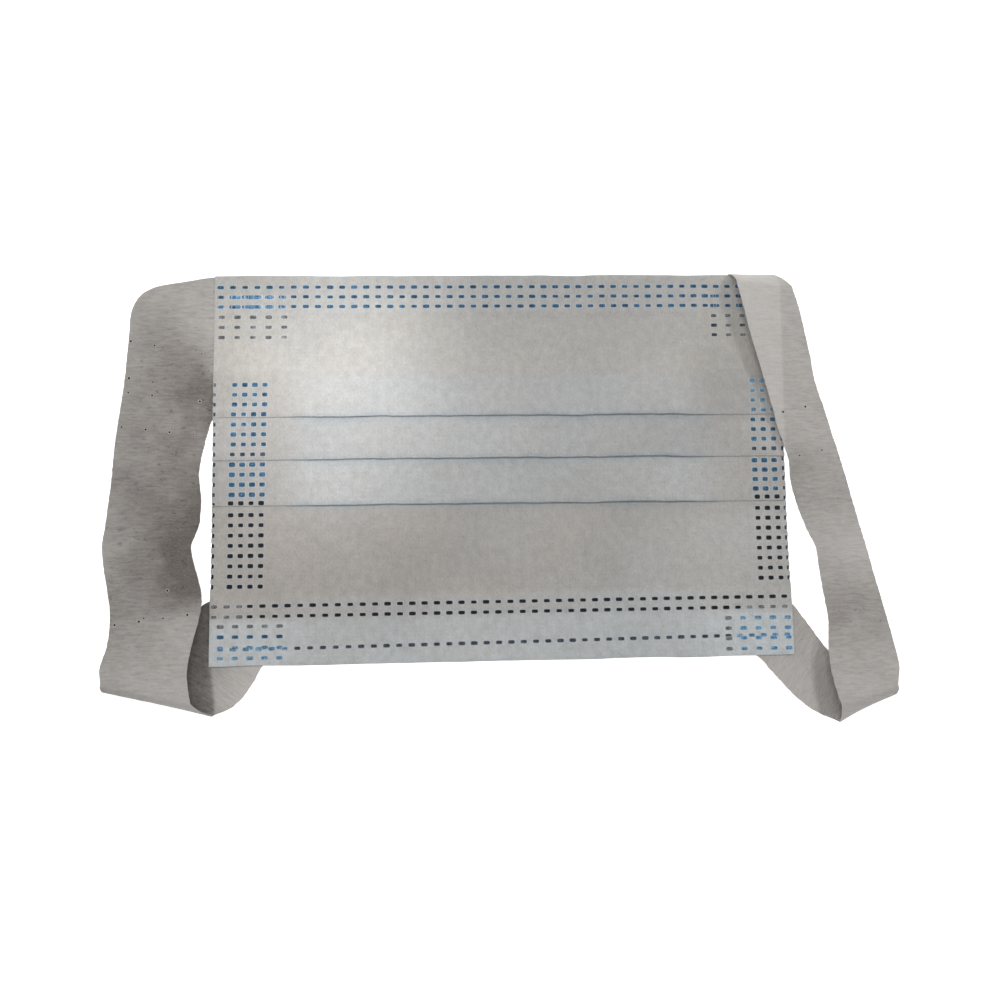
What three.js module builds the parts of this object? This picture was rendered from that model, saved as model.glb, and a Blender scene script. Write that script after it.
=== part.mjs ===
// Pleated surgical face mask with two flat ear straps, lying flat with its inner side up.
// Millimetres, +Z up, +X to the right, +Y towards the top hem.
// The tables below have their zero at the middle of the panel; the finished group is moved so that
// the origin is the centre of the whole mask's footprint, on the surface that it rests on.

import * as THREE from 'three';

// ---- cloth ----
const CLOTH = 1.0;                    // thickness of every cloth wall
const GAP = 0.3;                      // clear space between neighbouring layers
const LAYER = CLOTH + GAP;            // height from one layer to the next
const HAIRPIN_STEPS = 4;              // facets round a sharp fold
const ROLL_STEPS = 6;                 // facets round a loose roll

// ---- panel ----
const PANEL_WIDTH = 142.5;
const PANEL_HEIGHT = 97;
const TOP_HEM = 9.1;                  // depth of the cloth folded under along the top edge
const LOWER_HEM = 15.3;               // depth of the cloth folded under along the lower edge
const HEM_SLOPE = 3.4;                // run in which the face steps down from a hem
const RISE_RUN = 10.5;                // run in which the face climbs to the first pleat
const FACE_STEP = 4.5;                // longest facet along the flat stretches
const PANEL_COLUMNS = 20;             // facets across the panel, closer together at its sides
const SIDE_WELD = 14;                 // width of the side band where the pleats are welded flat
const SIDE_EASE = 14;                 // run in which the welded band opens to the loose pleats
const SIDE_PRESS = 0.5;               // share of the loose pleat height left in the welded band

// Each pleat: fold is the edge that shows, tuck the hidden edge above it (Y), and climb the height
// that its layers gain from tuck to fold where they lie on the next pleat.
const PLEATS = [
  { fold: 12.4, tuck: 23.3, climb: 2 * LAYER },
  { fold: 1.6, tuck: 12.2, climb: 2 * LAYER },
  { fold: -9.7, tuck: 1.4, climb: 0 },
];

// ---- corners ----
const CORNER_LIFT = 1.6;              // height by which a strap end raises a corner of the panel
const CORNER_EASE = 14;               // run in which the panel comes down again
// Each corner: the side of the panel, and the inner limits of the strap end below it.
const CORNERS = [
  { sideX: -1, sideY: 1, reachX: 53, reachY: 24 },
  { sideX: 1, sideY: 1, reachX: 53, reachY: 30 },
  { sideX: -1, sideY: -1, reachX: 53, reachY: 33 },
  { sideX: 1, sideY: -1, reachX: 53, reachY: 33 },
];

// ---- straps ----
const STRAP_COLUMNS = 4;              // facets across a strap
const STRAP_SMOOTH = 2;               // facets from one row of a table to the next
const FLOOR = CLOTH / 2;              // middle of a strap that lies on the surface

// Rows run along the strap from its top weld to its lower weld, with the outer edge (o) and the
// inner edge (i) of the cloth's middle. A row with a roll starts a half turn that ends at the next
// row and bulges by that much along the strap.
const LEFT_STRAP = [
  { ox: -53.4, oy: 47.4, oz: FLOOR, ix: -53.4, iy: 31.6, iz: FLOOR },
  { ox: -62.0, oy: 47.6, oz: FLOOR, ix: -61.5, iy: 30.4, iz: FLOOR },
  { ox: -71.2, oy: 47.7, oz: FLOOR, ix: -68.6, iy: 27.4, iz: FLOOR },
  { ox: -80.0, oy: 46.7, oz: FLOOR, ix: -71.3, iy: 23.6, iz: FLOOR },
  { ox: -87.0, oy: 45.2, oz: FLOOR, ix: -72.2, iy: 20.4, iz: FLOOR },
  { ox: -90.6, oy: 42.4, oz: FLOOR, ix: -72.3, iy: 18.0, iz: FLOOR },
  { ox: -91.7, oy: 37.4, oz: FLOOR, ix: -72.3, iy: 15.6, iz: FLOOR },
  { ox: -92.8, oy: 21.0, oz: FLOOR, ix: -72.4, iy: 11.0, iz: FLOOR },
  { ox: -94.0, oy: 7.1, oz: FLOOR, ix: -74.0, iy: 5.5, iz: FLOOR },
  { ox: -95.0, oy: -7.7, oz: FLOOR, ix: -74.1, iy: -8.0, iz: FLOOR },
  { ox: -96.0, oy: -18.5, oz: FLOOR, ix: -76.3, iy: -19.6, iz: FLOOR },
  { ox: -94.6, oy: -30.0, oz: 0.6, ix: -73.2, iy: -29.6, iz: 1.5 },
  { ox: -94.3, oy: -37.0, oz: 1.1, ix: -73.5, iy: -36.0, iz: 2.9 },
  { ox: -95.3, oy: -45.0, oz: 2.6, ix: -75.6, iy: -46.0, iz: 4.4 },
  { ox: -96.0, oy: -50.6, oz: 4.7, ix: -74.8, iy: -56.3, iz: 4.9, roll: 2.2 },
  { ox: -94.0, oy: -50.8, oz: FLOOR, ix: -69.3, iy: -58.7, iz: FLOOR },
  { ox: -85.0, oy: -45.4, oz: FLOOR, ix: -63.9, iy: -56.0, iz: FLOOR },
  { ox: -76.5, oy: -38.2, oz: FLOOR, ix: -60.4, iy: -51.6, iz: FLOOR },
  { ox: -70.6, oy: -34.2, oz: FLOOR, ix: -58.0, iy: -48.4, iz: FLOOR },
  { ox: -62.0, oy: -34.0, oz: FLOOR, ix: -55.6, iy: -47.6, iz: FLOOR },
  { ox: -53.6, oy: -34.0, oz: FLOOR, ix: -53.4, iy: -47.5, iz: FLOOR },
];

const RIGHT_STRAP = [
  { ox: 70.2, oy: 31.8, oz: FLOOR, ix: 53.6, iy: 31.8, iz: FLOOR },
  { ox: 70.4, oy: 40.0, oz: FLOOR, ix: 55.4, iy: 40.0, iz: FLOOR },
  { ox: 70.6, oy: 47.9, oz: FLOOR, ix: 58.4, iy: 47.9, iz: FLOOR, roll: 2.8 },
  { ox: 75.2, oy: 45.6, oz: 5.0, ix: 61.4, iy: 45.8, iz: 5.5 },
  { ox: 77.4, oy: 32.7, oz: 3.4, ix: 64.3, iy: 32.8, iz: 5.1 },
  { ox: 79.9, oy: 21.0, oz: 2.5, ix: 67.2, iy: 21.6, iz: 5.0 },
  { ox: 82.2, oy: 11.0, oz: 1.7, ix: 69.8, iy: 11.6, iz: 5.0 },
  { ox: 84.2, oy: 3.5, oz: 0.9, ix: 72.5, iy: 3.8, iz: 3.6 },
  { ox: 86.4, oy: -5.1, oz: FLOOR, ix: 73.0, iy: -4.9, iz: 1.3 },
  { ox: 89.0, oy: -15.0, oz: FLOOR, ix: 74.9, iy: -15.0, iz: FLOOR },
  { ox: 92.0, oy: -26.5, oz: FLOOR, ix: 78.4, iy: -27.5, iz: FLOOR },
  { ox: 94.3, oy: -36.0, oz: FLOOR, ix: 79.9, iy: -36.4, iz: 0.7 },
  { ox: 96.0, oy: -45.0, oz: 1.1, ix: 80.3, iy: -45.0, iz: 2.5 },
  { ox: 97.0, oy: -52.0, oz: 2.8, ix: 80.8, iy: -53.0, iz: 4.3 },
  { ox: 96.4, oy: -56.4, oz: 4.7, ix: 81.9, iy: -60.2, iz: 4.9, roll: 2.2 },
  { ox: 93.2, oy: -56.9, oz: FLOOR, ix: 81.8, iy: -63.4, iz: FLOOR },
  { ox: 85.2, oy: -51.8, oz: FLOOR, ix: 75.6, iy: -60.8, iz: FLOOR },
  { ox: 79.2, oy: -46.8, oz: FLOOR, ix: 69.4, iy: -56.0, iz: FLOOR },
  { ox: 74.0, oy: -41.6, oz: FLOOR, ix: 65.0, iy: -51.2, iz: FLOOR },
  { ox: 69.8, oy: -36.0, oz: FLOOR, ix: 61.6, iy: -48.2, iz: FLOOR },
  { ox: 62.5, oy: -34.2, oz: FLOOR, ix: 57.5, iy: -47.6, iz: FLOOR },
  { ox: 53.8, oy: -34.0, oz: FLOOR, ix: 53.6, iy: -47.5, iz: FLOOR },
];

// ---- finish ----
const panelFinish = new THREE.MeshStandardMaterial({ color: 0xd8d6d2, roughness: 0.92, metalness: 0 });
const leftStrapFinish = new THREE.MeshStandardMaterial({ color: 0xa79f98, roughness: 0.95, metalness: 0 });
const rightStrapFinish = new THREE.MeshStandardMaterial({ color: 0xb3aca5, roughness: 0.95, metalness: 0 });

// Closes the space between an upper and a lower net of points into one solid. Both nets are lists
// of rows of equal length, and the four rims join them.
function solidBetween(upper, lower) {
  const rows = upper.length;
  const columns = upper[0].length;
  const positions = [];
  for (const net of [upper, lower]) {
    for (const row of net) {
      for (const point of row) positions.push(point.x, point.y, point.z);
    }
  }
  const top = (row, column) => row * columns + column;
  const bottom = (row, column) => rows * columns + row * columns + column;
  const faces = [];
  const quad = (a, b, c, d) => faces.push(a, b, c, a, c, d);
  for (let r = 0; r < rows - 1; r += 1) {
    for (let c = 0; c < columns - 1; c += 1) {
      quad(top(r, c), top(r + 1, c), top(r + 1, c + 1), top(r, c + 1));
      quad(bottom(r, c), bottom(r, c + 1), bottom(r + 1, c + 1), bottom(r + 1, c));
    }
    quad(top(r, 0), bottom(r, 0), bottom(r + 1, 0), top(r + 1, 0));
    const last = columns - 1;
    quad(top(r, last), top(r + 1, last), bottom(r + 1, last), bottom(r, last));
  }
  for (let c = 0; c < columns - 1; c += 1) {
    quad(top(0, c), top(0, c + 1), bottom(0, c + 1), bottom(0, c));
    const last = rows - 1;
    quad(top(last, c), bottom(last, c), bottom(last, c + 1), top(last, c + 1));
  }
  if (signedVolume(positions, faces) < 0) faces.reverse();
  const geometry = new THREE.BufferGeometry();
  geometry.setAttribute('position', new THREE.Float32BufferAttribute(positions, 3));
  geometry.setIndex(faces);
  geometry.computeVertexNormals();
  return geometry;
}

// Volume enclosed by a closed set of triangles, negative when they face inwards.
function signedVolume(positions, faces) {
  const corner = (index) => new THREE.Vector3().fromArray(positions, 3 * index);
  let total = 0;
  for (let i = 0; i < faces.length; i += 3) {
    const a = corner(faces[i]);
    const b = corner(faces[i + 1]);
    const c = corner(faces[i + 2]);
    total += a.dot(b.cross(c)) / 6;
  }
  return total;
}

// ---- panel ----

// Height of the middle of a layer above the surface, with 0 for the lowest one.
function layerHeight(layer) {
  return CLOTH / 2 + layer * LAYER;
}

// Height gained by every layer of a pleat at a place between its tuck and its fold.
function pleatClimb(pleat, y) {
  const share = (pleat.tuck - y) / (pleat.tuck - pleat.fold);
  return pleat.climb * THREE.MathUtils.clamp(share, 0, 1);
}

// The middle line of the panel's cloth in section, as (Y, Z) points from the free edge of the top
// hem, round every fold, to the free edge of the lower hem.
function panelSection() {
  const line = [];
  const foldInset = LAYER / 2 + CLOTH / 2;
  const run = (yFrom, yTo, zFrom, zTo) => {
    const steps = Math.max(1, Math.round(Math.abs(yTo - yFrom) / FACE_STEP));
    for (let i = 0; i <= steps; i += 1) {
      const share = i / steps;
      const point = new THREE.Vector2(
        THREE.MathUtils.lerp(yFrom, yTo, share),
        THREE.MathUtils.lerp(zFrom, zTo, share),
      );
      const last = line[line.length - 1];
      if (!last || last.distanceTo(point) > GAP) line.push(point);
    }
  };
  const hairpin = (y, zFrom, zTo, direction) => {
    const middle = (zFrom + zTo) / 2;
    const radius = (zFrom - zTo) / 2;
    for (let i = 1; i < HAIRPIN_STEPS; i += 1) {
      const angle = (Math.PI * i) / HAIRPIN_STEPS;
      const reach = direction * Math.abs(radius) * Math.sin(angle);
      line.push(new THREE.Vector2(y + reach, middle + radius * Math.cos(angle)));
    }
  };

  const top = PANEL_HEIGHT / 2;
  const topHemEnd = top - TOP_HEM;
  const topFold = top - foldInset;
  run(topHemEnd, topFold, layerHeight(0), layerHeight(0));
  hairpin(topFold, layerHeight(0), layerHeight(1), 1);
  const climbStart = PLEATS[0].tuck + RISE_RUN;
  run(topFold, topHemEnd - GAP, layerHeight(1), layerHeight(1));
  run(topHemEnd - GAP, topHemEnd - GAP - HEM_SLOPE, layerHeight(1), layerHeight(0));
  run(climbStart, PLEATS[0].tuck, layerHeight(0), layerHeight(2));

  for (const pleat of PLEATS) {
    const foldCentre = pleat.fold + foldInset;
    const tuckCentre = pleat.tuck - foldInset;
    const atFold = pleatClimb(pleat, foldCentre);
    const atTuck = pleatClimb(pleat, tuckCentre);
    run(pleat.tuck, foldCentre, layerHeight(2), layerHeight(2) + atFold);
    hairpin(foldCentre, layerHeight(2) + atFold, layerHeight(1) + atFold, -1);
    run(foldCentre, tuckCentre, layerHeight(1) + atFold, layerHeight(1) + atTuck);
    hairpin(tuckCentre, layerHeight(1) + atTuck, layerHeight(0) + atTuck, 1);
    run(tuckCentre, pleat.fold, layerHeight(0) + atTuck, layerHeight(0) + pleat.climb);
  }

  const lowerHemEnd = -top + LOWER_HEM;
  const lowerFold = -top + foldInset;
  const lastFold = PLEATS[PLEATS.length - 1].fold;
  run(lastFold, lowerHemEnd + GAP + HEM_SLOPE, layerHeight(0), layerHeight(0));
  run(lowerHemEnd + GAP + HEM_SLOPE, lowerHemEnd + GAP, layerHeight(0), layerHeight(1));
  run(lowerHemEnd + GAP, lowerFold, layerHeight(1), layerHeight(1));
  hairpin(lowerFold, layerHeight(1), layerHeight(0), -1);
  run(lowerFold, lowerHemEnd, layerHeight(0), layerHeight(0));
  return line;
}

// A line moved sideways by a distance, to its left when the distance is positive.
function offsetLine(line, distance) {
  return line.map((point, index) => {
    const before = line[Math.max(index - 1, 0)];
    const after = line[Math.min(index + 1, line.length - 1)];
    const arriving = point.clone().sub(before).normalize();
    const leaving = after.clone().sub(point).normalize();
    const along = arriving.add(leaving).normalize();
    const reference = index > 0 ? point.clone().sub(before).normalize() : along;
    const stretch = distance / Math.max(along.dot(reference), 0.5);
    return new THREE.Vector2(point.x - along.y * stretch, point.y + along.x * stretch);
  });
}

// How much of the loose pleat height is left at a distance from the panel's side.
function pressAt(x) {
  const inside = PANEL_WIDTH / 2 - Math.abs(x) - SIDE_WELD;
  return THREE.MathUtils.lerp(SIDE_PRESS, 1, THREE.MathUtils.smoothstep(inside, 0, SIDE_EASE));
}

// Height by which the strap ends raise the panel at a place.
function liftAt(x, y) {
  let lift = 0;
  for (const corner of CORNERS) {
    const awayX = Math.max(corner.reachX - corner.sideX * x, 0);
    const awayY = Math.max(corner.reachY - corner.sideY * y, 0);
    const away = Math.hypot(awayX, awayY);
    lift = Math.max(lift, CORNER_LIFT * (1 - THREE.MathUtils.smoothstep(away, 0, CORNER_EASE)));
  }
  return lift;
}

function maskPanel() {
  const section = panelSection();
  const stations = [];
  for (let i = 0; i <= PANEL_COLUMNS; i += 1) {
    const share = (2 * i) / PANEL_COLUMNS - 1;
    stations.push((PANEL_WIDTH / 2) * Math.sin((share * Math.PI) / 2));
  }
  const settle = (point, x) => {
    const loose = Math.max(point.y - CLOTH, 0);
    const height = Math.min(point.y, CLOTH) + loose * pressAt(x);
    return new THREE.Vector3(x, point.x, height + liftAt(x, point.x));
  };
  const net = (line) => line.map((point) => stations.map((x) => settle(point, x)));
  const upper = net(offsetLine(section, -CLOTH / 2));
  const lower = net(offsetLine(section, CLOTH / 2));
  const mesh = new THREE.Mesh(solidBetween(upper, lower), panelFinish);
  mesh.name = 'mask_panel';
  return mesh;
}

// ---- straps ----

// The two edges of a strap as lists of points, with each roll worked out between its two rows.
function strapEdges(rows) {
  const outer = [];
  const inner = [];
  const smooth = [];
  rows.forEach((row, index) => {
    outer.push(new THREE.Vector3(row.ox, row.oy, row.oz));
    inner.push(new THREE.Vector3(row.ix, row.iy, row.iz));
    smooth.push(!row.roll);
    if (!row.roll) return;
    const next = rows[index + 1];
    const before = rows[index - 1];
    const acrossX = row.ox + next.ox - row.ix - next.ix;
    const acrossY = row.oy + next.oy - row.iy - next.iy;
    const outward = new THREE.Vector3(-acrossY, acrossX, 0).normalize();
    const travelX = row.ox + row.ix - before.ox - before.ix;
    const travelY = row.oy + row.iy - before.oy - before.iy;
    const travel = new THREE.Vector3(travelX, travelY, 0);
    if (outward.dot(travel) < 0) outward.negate();
    for (let i = 1; i < ROLL_STEPS; i += 1) {
      const angle = (Math.PI * i) / ROLL_STEPS;
      const share = (1 - Math.cos(angle)) / 2;
      const bulge = outward.clone().multiplyScalar(row.roll * Math.sin(angle));
      const outerEnd = new THREE.Vector3(next.ox, next.oy, next.oz);
      const innerEnd = new THREE.Vector3(next.ix, next.iy, next.iz);
      outer.push(new THREE.Vector3(row.ox, row.oy, row.oz).lerp(outerEnd, share).add(bulge));
      inner.push(new THREE.Vector3(row.ix, row.iy, row.iz).lerp(innerEnd, share).add(bulge));
      smooth.push(false);
    }
  });
  return { outer, inner, smooth };
}

// A net of points on the middle of a strap, smoothed along it.
function strapNet(rows) {
  const { outer, inner, smooth } = strapEdges(rows);
  const outerCurve = new THREE.CatmullRomCurve3(outer, false, 'centripetal');
  const innerCurve = new THREE.CatmullRomCurve3(inner, false, 'centripetal');
  const spans = outer.length - 1;
  const net = [];
  for (let span = 0; span < spans; span += 1) {
    const steps = smooth[span] ? STRAP_SMOOTH : 1;
    for (let step = 0; step < steps; step += 1) {
      net.push(strapRow(outerCurve, innerCurve, (span + step / steps) / spans));
    }
  }
  net.push(strapRow(outerCurve, innerCurve, 1));
  return net;
}

function strapRow(outerCurve, innerCurve, share) {
  const from = outerCurve.getPoint(share);
  const to = innerCurve.getPoint(share);
  const row = [];
  for (let i = 0; i <= STRAP_COLUMNS; i += 1) row.push(from.clone().lerp(to, i / STRAP_COLUMNS));
  return row;
}

// The net moved by a distance along its own normals, and kept above the surface that it lies on.
function offsetNet(net, distance) {
  const rows = net.length - 1;
  const columns = net[0].length - 1;
  return net.map((row, r) => row.map((point, c) => {
    const along = net[Math.min(r + 1, rows)][c].clone().sub(net[Math.max(r - 1, 0)][c]);
    const across = net[r][Math.min(c + 1, columns)].clone().sub(net[r][Math.max(c - 1, 0)]);
    const moved = point.clone().addScaledVector(along.cross(across).normalize(), distance);
    moved.z = Math.max(moved.z, 0);
    return moved;
  }));
}

function earStrap(name, rows, finish) {
  const net = strapNet(rows);
  const geometry = solidBetween(offsetNet(net, CLOTH / 2), offsetNet(net, -CLOTH / 2));
  const mesh = new THREE.Mesh(geometry, finish);
  mesh.name = name;
  return mesh;
}

// ---- the whole mask ----

const pieces = new THREE.Group();
pieces.add(maskPanel());
pieces.add(earStrap('ear_strap_left', LEFT_STRAP, leftStrapFinish));
pieces.add(earStrap('ear_strap_right', RIGHT_STRAP, rightStrapFinish));

const footprint = new THREE.Box3().setFromObject(pieces);
pieces.position.set(
  -(footprint.min.x + footprint.max.x) / 2,
  -(footprint.min.y + footprint.max.y) / 2,
  -footprint.min.z,
);

const mask = new THREE.Group();
mask.add(pieces);

export default mask;
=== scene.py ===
"""Surgical face mask with two flat ear straps, lying flat with its inner side up.

The constants and tables hold millimetres, and places in them are measured from the middle of the
panel. The settings, the meshes and the frame are in metres.
"""

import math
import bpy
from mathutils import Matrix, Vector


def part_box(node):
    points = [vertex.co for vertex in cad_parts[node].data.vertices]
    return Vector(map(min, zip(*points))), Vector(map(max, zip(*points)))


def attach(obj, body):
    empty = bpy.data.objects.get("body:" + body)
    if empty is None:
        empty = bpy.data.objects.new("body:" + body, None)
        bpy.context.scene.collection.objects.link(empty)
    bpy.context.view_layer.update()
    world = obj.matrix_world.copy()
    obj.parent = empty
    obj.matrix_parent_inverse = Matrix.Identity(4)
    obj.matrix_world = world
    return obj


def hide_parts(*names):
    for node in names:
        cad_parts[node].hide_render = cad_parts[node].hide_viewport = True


bl_info = {
    "name": "Surgical face mask",
    "version": (1, 0, 0),
    "blender": (4, 5, 0),
    "location": "3D View > Sidebar > Face mask",
    "description": "Pleated face mask with two flat ear straps, lying flat",
    "category": "Add Mesh",
}

from collections import namedtuple

import bpy
import numpy as np
from bpy.props import FloatProperty, FloatVectorProperty, IntProperty, PointerProperty
from mathutils import Matrix, Vector, noise

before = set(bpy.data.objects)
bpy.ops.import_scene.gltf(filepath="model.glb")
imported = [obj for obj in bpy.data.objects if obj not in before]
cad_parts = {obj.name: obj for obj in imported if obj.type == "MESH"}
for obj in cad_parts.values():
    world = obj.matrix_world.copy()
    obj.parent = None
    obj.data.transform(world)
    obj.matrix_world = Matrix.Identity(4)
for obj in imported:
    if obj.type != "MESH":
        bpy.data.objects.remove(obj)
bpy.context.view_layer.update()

MM = 0.001
BODY = "root"
PANEL_LOW, PANEL_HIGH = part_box("mask_panel")
PANEL_MIDDLE = Vector(((PANEL_LOW.x + PANEL_HIGH.x) / 2, (PANEL_LOW.y + PANEL_HIGH.y) / 2, 0))
PANEL_WIDTH = (PANEL_HIGH.x - PANEL_LOW.x) / MM
PANEL_HEIGHT = (PANEL_HIGH.y - PANEL_LOW.y) / MM

SHARP_ANGLE = math.radians(55)

# ---- panel ----
# Depths of the two hems, the run over which the cloth steps down off a hem, the run and the
# layers by which it climbs onto the stacked pleats, and how many layers these have.
TOP_HEM = 9.1
LOWER_HEM = 15.3
HEM_SLOPE = 2.2
RISE_RUN = 6.5
RISE_LAYERS = 2.4
STACK_LAYERS = 4

# Steps of the mesh along the cloth and across it.
FACE_STEP = 0.62
HIDDEN_STEP = 1.8
HAIRPIN_STEPS = 6
SIDE_COLUMN = 0.6
MIDDLE_COLUMN = 1.5

# The welded bands at the sides: their width, the share of the height that stays there, and the
# run over which the cloth comes loose beside them. The last one is that run round a strap end.
SIDE_BAND = 14.0
SIDE_PRESS = 0.48
SIDE_EASE = 12.0
CORNER_EASE = 12.0

# Rows and columns of the side welds, which the dimples and the notches of the cut edge follow.
SIDE_ROW = 20.5
SIDE_ROW_PITCH = 2.5
SIDE_COLUMN_WELD = 66.6
SIDE_COLUMN_PITCH = 2.48
SIDE_WELDS_TOP = 21.6
SIDE_WELDS_END = -30.8
HEM_WELD_ROWS = (45.5, 43.0, 40.5, -34.2, -36.7, -44.1)
DIMPLE_DEPTH = 0.1
NOTCH_DEPTH = 0.22
NOTCH_REACH = 1.6
NOTCHES_TOP = 22.5
NOTCHES_END = -31.5

# How far the loose cloth puffs up, and how far folds and edges wander from a straight line.
PUFF = 0.22
SLOW_SWAY = 0.25
FINE_SWAY = 0.11
EDGE_SWAY = 0.1
EDGE_SKEW = 0.0045

# Where the lower hem is pressed over the strap ends: the bands in which the colour of the patch
# comes in, outwards and downwards from the middle.
PATCH_SIDE = (44.0, 57.0)
PATCH_TOP = (36.6, 38.6)

# The fold's colour on the faces beside it, painted shade: its share, and how far it reaches
# above and below.
HALO_SHARE = 0.6
HALO_ABOVE = 0.9
HALO_BELOW = 1.4

# A pleat opens downwards at its fold. Its cloth runs back up to the tuck, and the fold stands as
# many layers higher as it climbs.
Pleat = namedtuple("Pleat", "fold tuck climb")
PLEATS = (
    Pleat(fold=12.1, tuck=23.3, climb=2),
    Pleat(fold=1.4, tuck=11.9, climb=2),
    Pleat(fold=-9.9, tuck=1.2, climb=0),
)

# Corners that lie on a strap end: which corner, and how near the middle the end below it comes.
Corner = namedtuple("Corner", "side_x side_y reach_x reach_y")
CORNERS = (
    Corner(-1, 1, 53, 12),
    Corner(1, 1, 53, 30),
    Corner(-1, -1, 53, 33),
    Corner(1, -1, 53, 33),
)

# ---- straps ----
# Rows run from the top weld to the lower one: outer edge (o) and inner edge (i) of the cloth's
# middle, and how pale each edge is, from 0 where the cloth is thin to 1 where it is dense. Below
# 0 the thin part reaches further in. Some low values paint shade as well: along the left strap's
# inner edge beside the panel's side, and on its back ribbon beside the raised front ribbon. A
# row with a bulge for its edges (the two rolls) starts a half turn that ends at the next row.
StrapRow = namedtuple(
    "StrapRow", "ox oy oz ix iy iz o_pale i_pale o_roll i_roll", defaults=(0, 0)
)
FLAT = 0.2
STRAP_STEP = 0.5
STRAP_COLUMN = 0.5
ROLL_STEPS = 8

# How far a raised front ribbon shades the one behind it, for each millimetre of its height.
SHADE_REACH = 1.0

# Wrinkles, for each millimetre across a strap and along it, the same for the wander of its cut
# edges, how far these wander, and the length of its slow ripples.
FINE_WRINKLES = (0.3, 1.0)
BROAD_WRINKLES = (0.5, 0.6)
EDGE_WANDER = (0.02, 0.9)
FRAY = 0.12
RIPPLE_LENGTH = 23

LEFT_STRAP = (
    StrapRow(-53.4, 47.2, FLAT, -53.4, 31.6, FLAT, 0.85, 0.85),
    StrapRow(-62.0, 47.8, FLAT, -61.5, 30.4, FLAT, 0.8, 0.75),
    StrapRow(-71.2, 48.3, FLAT, -68.6, 27.4, FLAT, 0.78, 0.65),
    StrapRow(-79.0, 47.1, FLAT, -70.3, 23.6, FLAT, 0.76, 0.5),
    # The low inner values of this row and the next four paint shade along the panel's left side.
    StrapRow(-86.6, 45.6, FLAT, -70.4, 20.4, FLAT, 0.78, 0.16),
    StrapRow(-89.9, 43.4, FLAT, -70.5, 18.0, FLAT, 0.76, -0.02),
    StrapRow(-91.8, 39.6, FLAT, -70.6, 15.6, FLAT, 0.72, -0.1),
    StrapRow(-92.3, 33.2, FLAT, -70.8, 13.2, FLAT, 0.66, -0.06),
    StrapRow(-93.2, 21.0, FLAT, -71.8, 10.8, FLAT, 0.56, 0.06),
    StrapRow(-94.9, 7.1, FLAT, -73.2, 5.4, FLAT, 0.5, 0.22),
    StrapRow(-95.6, -3.0, FLAT, -74.4, -1.5, FLAT, 0.46, 0.18),
    StrapRow(-96.1, -8.0, FLAT, -73.8, -8.0, FLAT, 0.5, 0.08),
    StrapRow(-96.8, -14.6, FLAT, -74.2, -14.6, FLAT, 0.56, -0.08),
    StrapRow(-97.4, -19.4, FLAT, -76.0, -19.6, FLAT, 0.62, -0.16),
    StrapRow(-97.0, -23.4, FLAT, -75.4, -23.2, 0.3, 0.58, -0.16),
    StrapRow(-95.9, -30.0, 0.3, -73.4, -30.0, 1.2, 0.4, -0.04),
    StrapRow(-95.0, -35.0, 0.8, -72.8, -34.0, 2.4, 0.36, 0.3),
    StrapRow(-94.8, -38.0, 1.1, -73.3, -37.6, 3.1, 0.42, 0.7),
    StrapRow(-95.1, -43.6, 2.0, -74.8, -44.4, 4.0, 0.5, 0.78),
    StrapRow(-96.3, -49.0, 3.2, -75.6, -50.6, 4.7, 0.6, 0.82),
    StrapRow(-95.8, -52.4, 4.0, -74.6, -57.2, 4.6, 0.66, 0.86, 2.0, 0.8),
    # On the back ribbon the low outer values paint the front ribbon's shadow.
    StrapRow(-93.8, -52.6, FLAT, -69.9, -60.3, FLAT, 0.2, 0.6),
    StrapRow(-88.0, -48.8, FLAT, -66.4, -59.0, FLAT, 0.1, 0.95),
    StrapRow(-83.0, -44.5, FLAT, -63.6, -56.8, FLAT, 0.1, 1.0),
    StrapRow(-77.0, -38.6, FLAT, -60.4, -52.4, FLAT, 0.15, 1.0),
    StrapRow(-71.6, -33.2, FLAT, -58.4, -48.8, FLAT, 0.3, 1.0),
    StrapRow(-62.0, -33.6, FLAT, -55.6, -47.6, FLAT, 0.6, 0.9),
    StrapRow(-53.6, -34.0, FLAT, -53.4, -47.5, FLAT, 0.9, 0.9),
)

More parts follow.
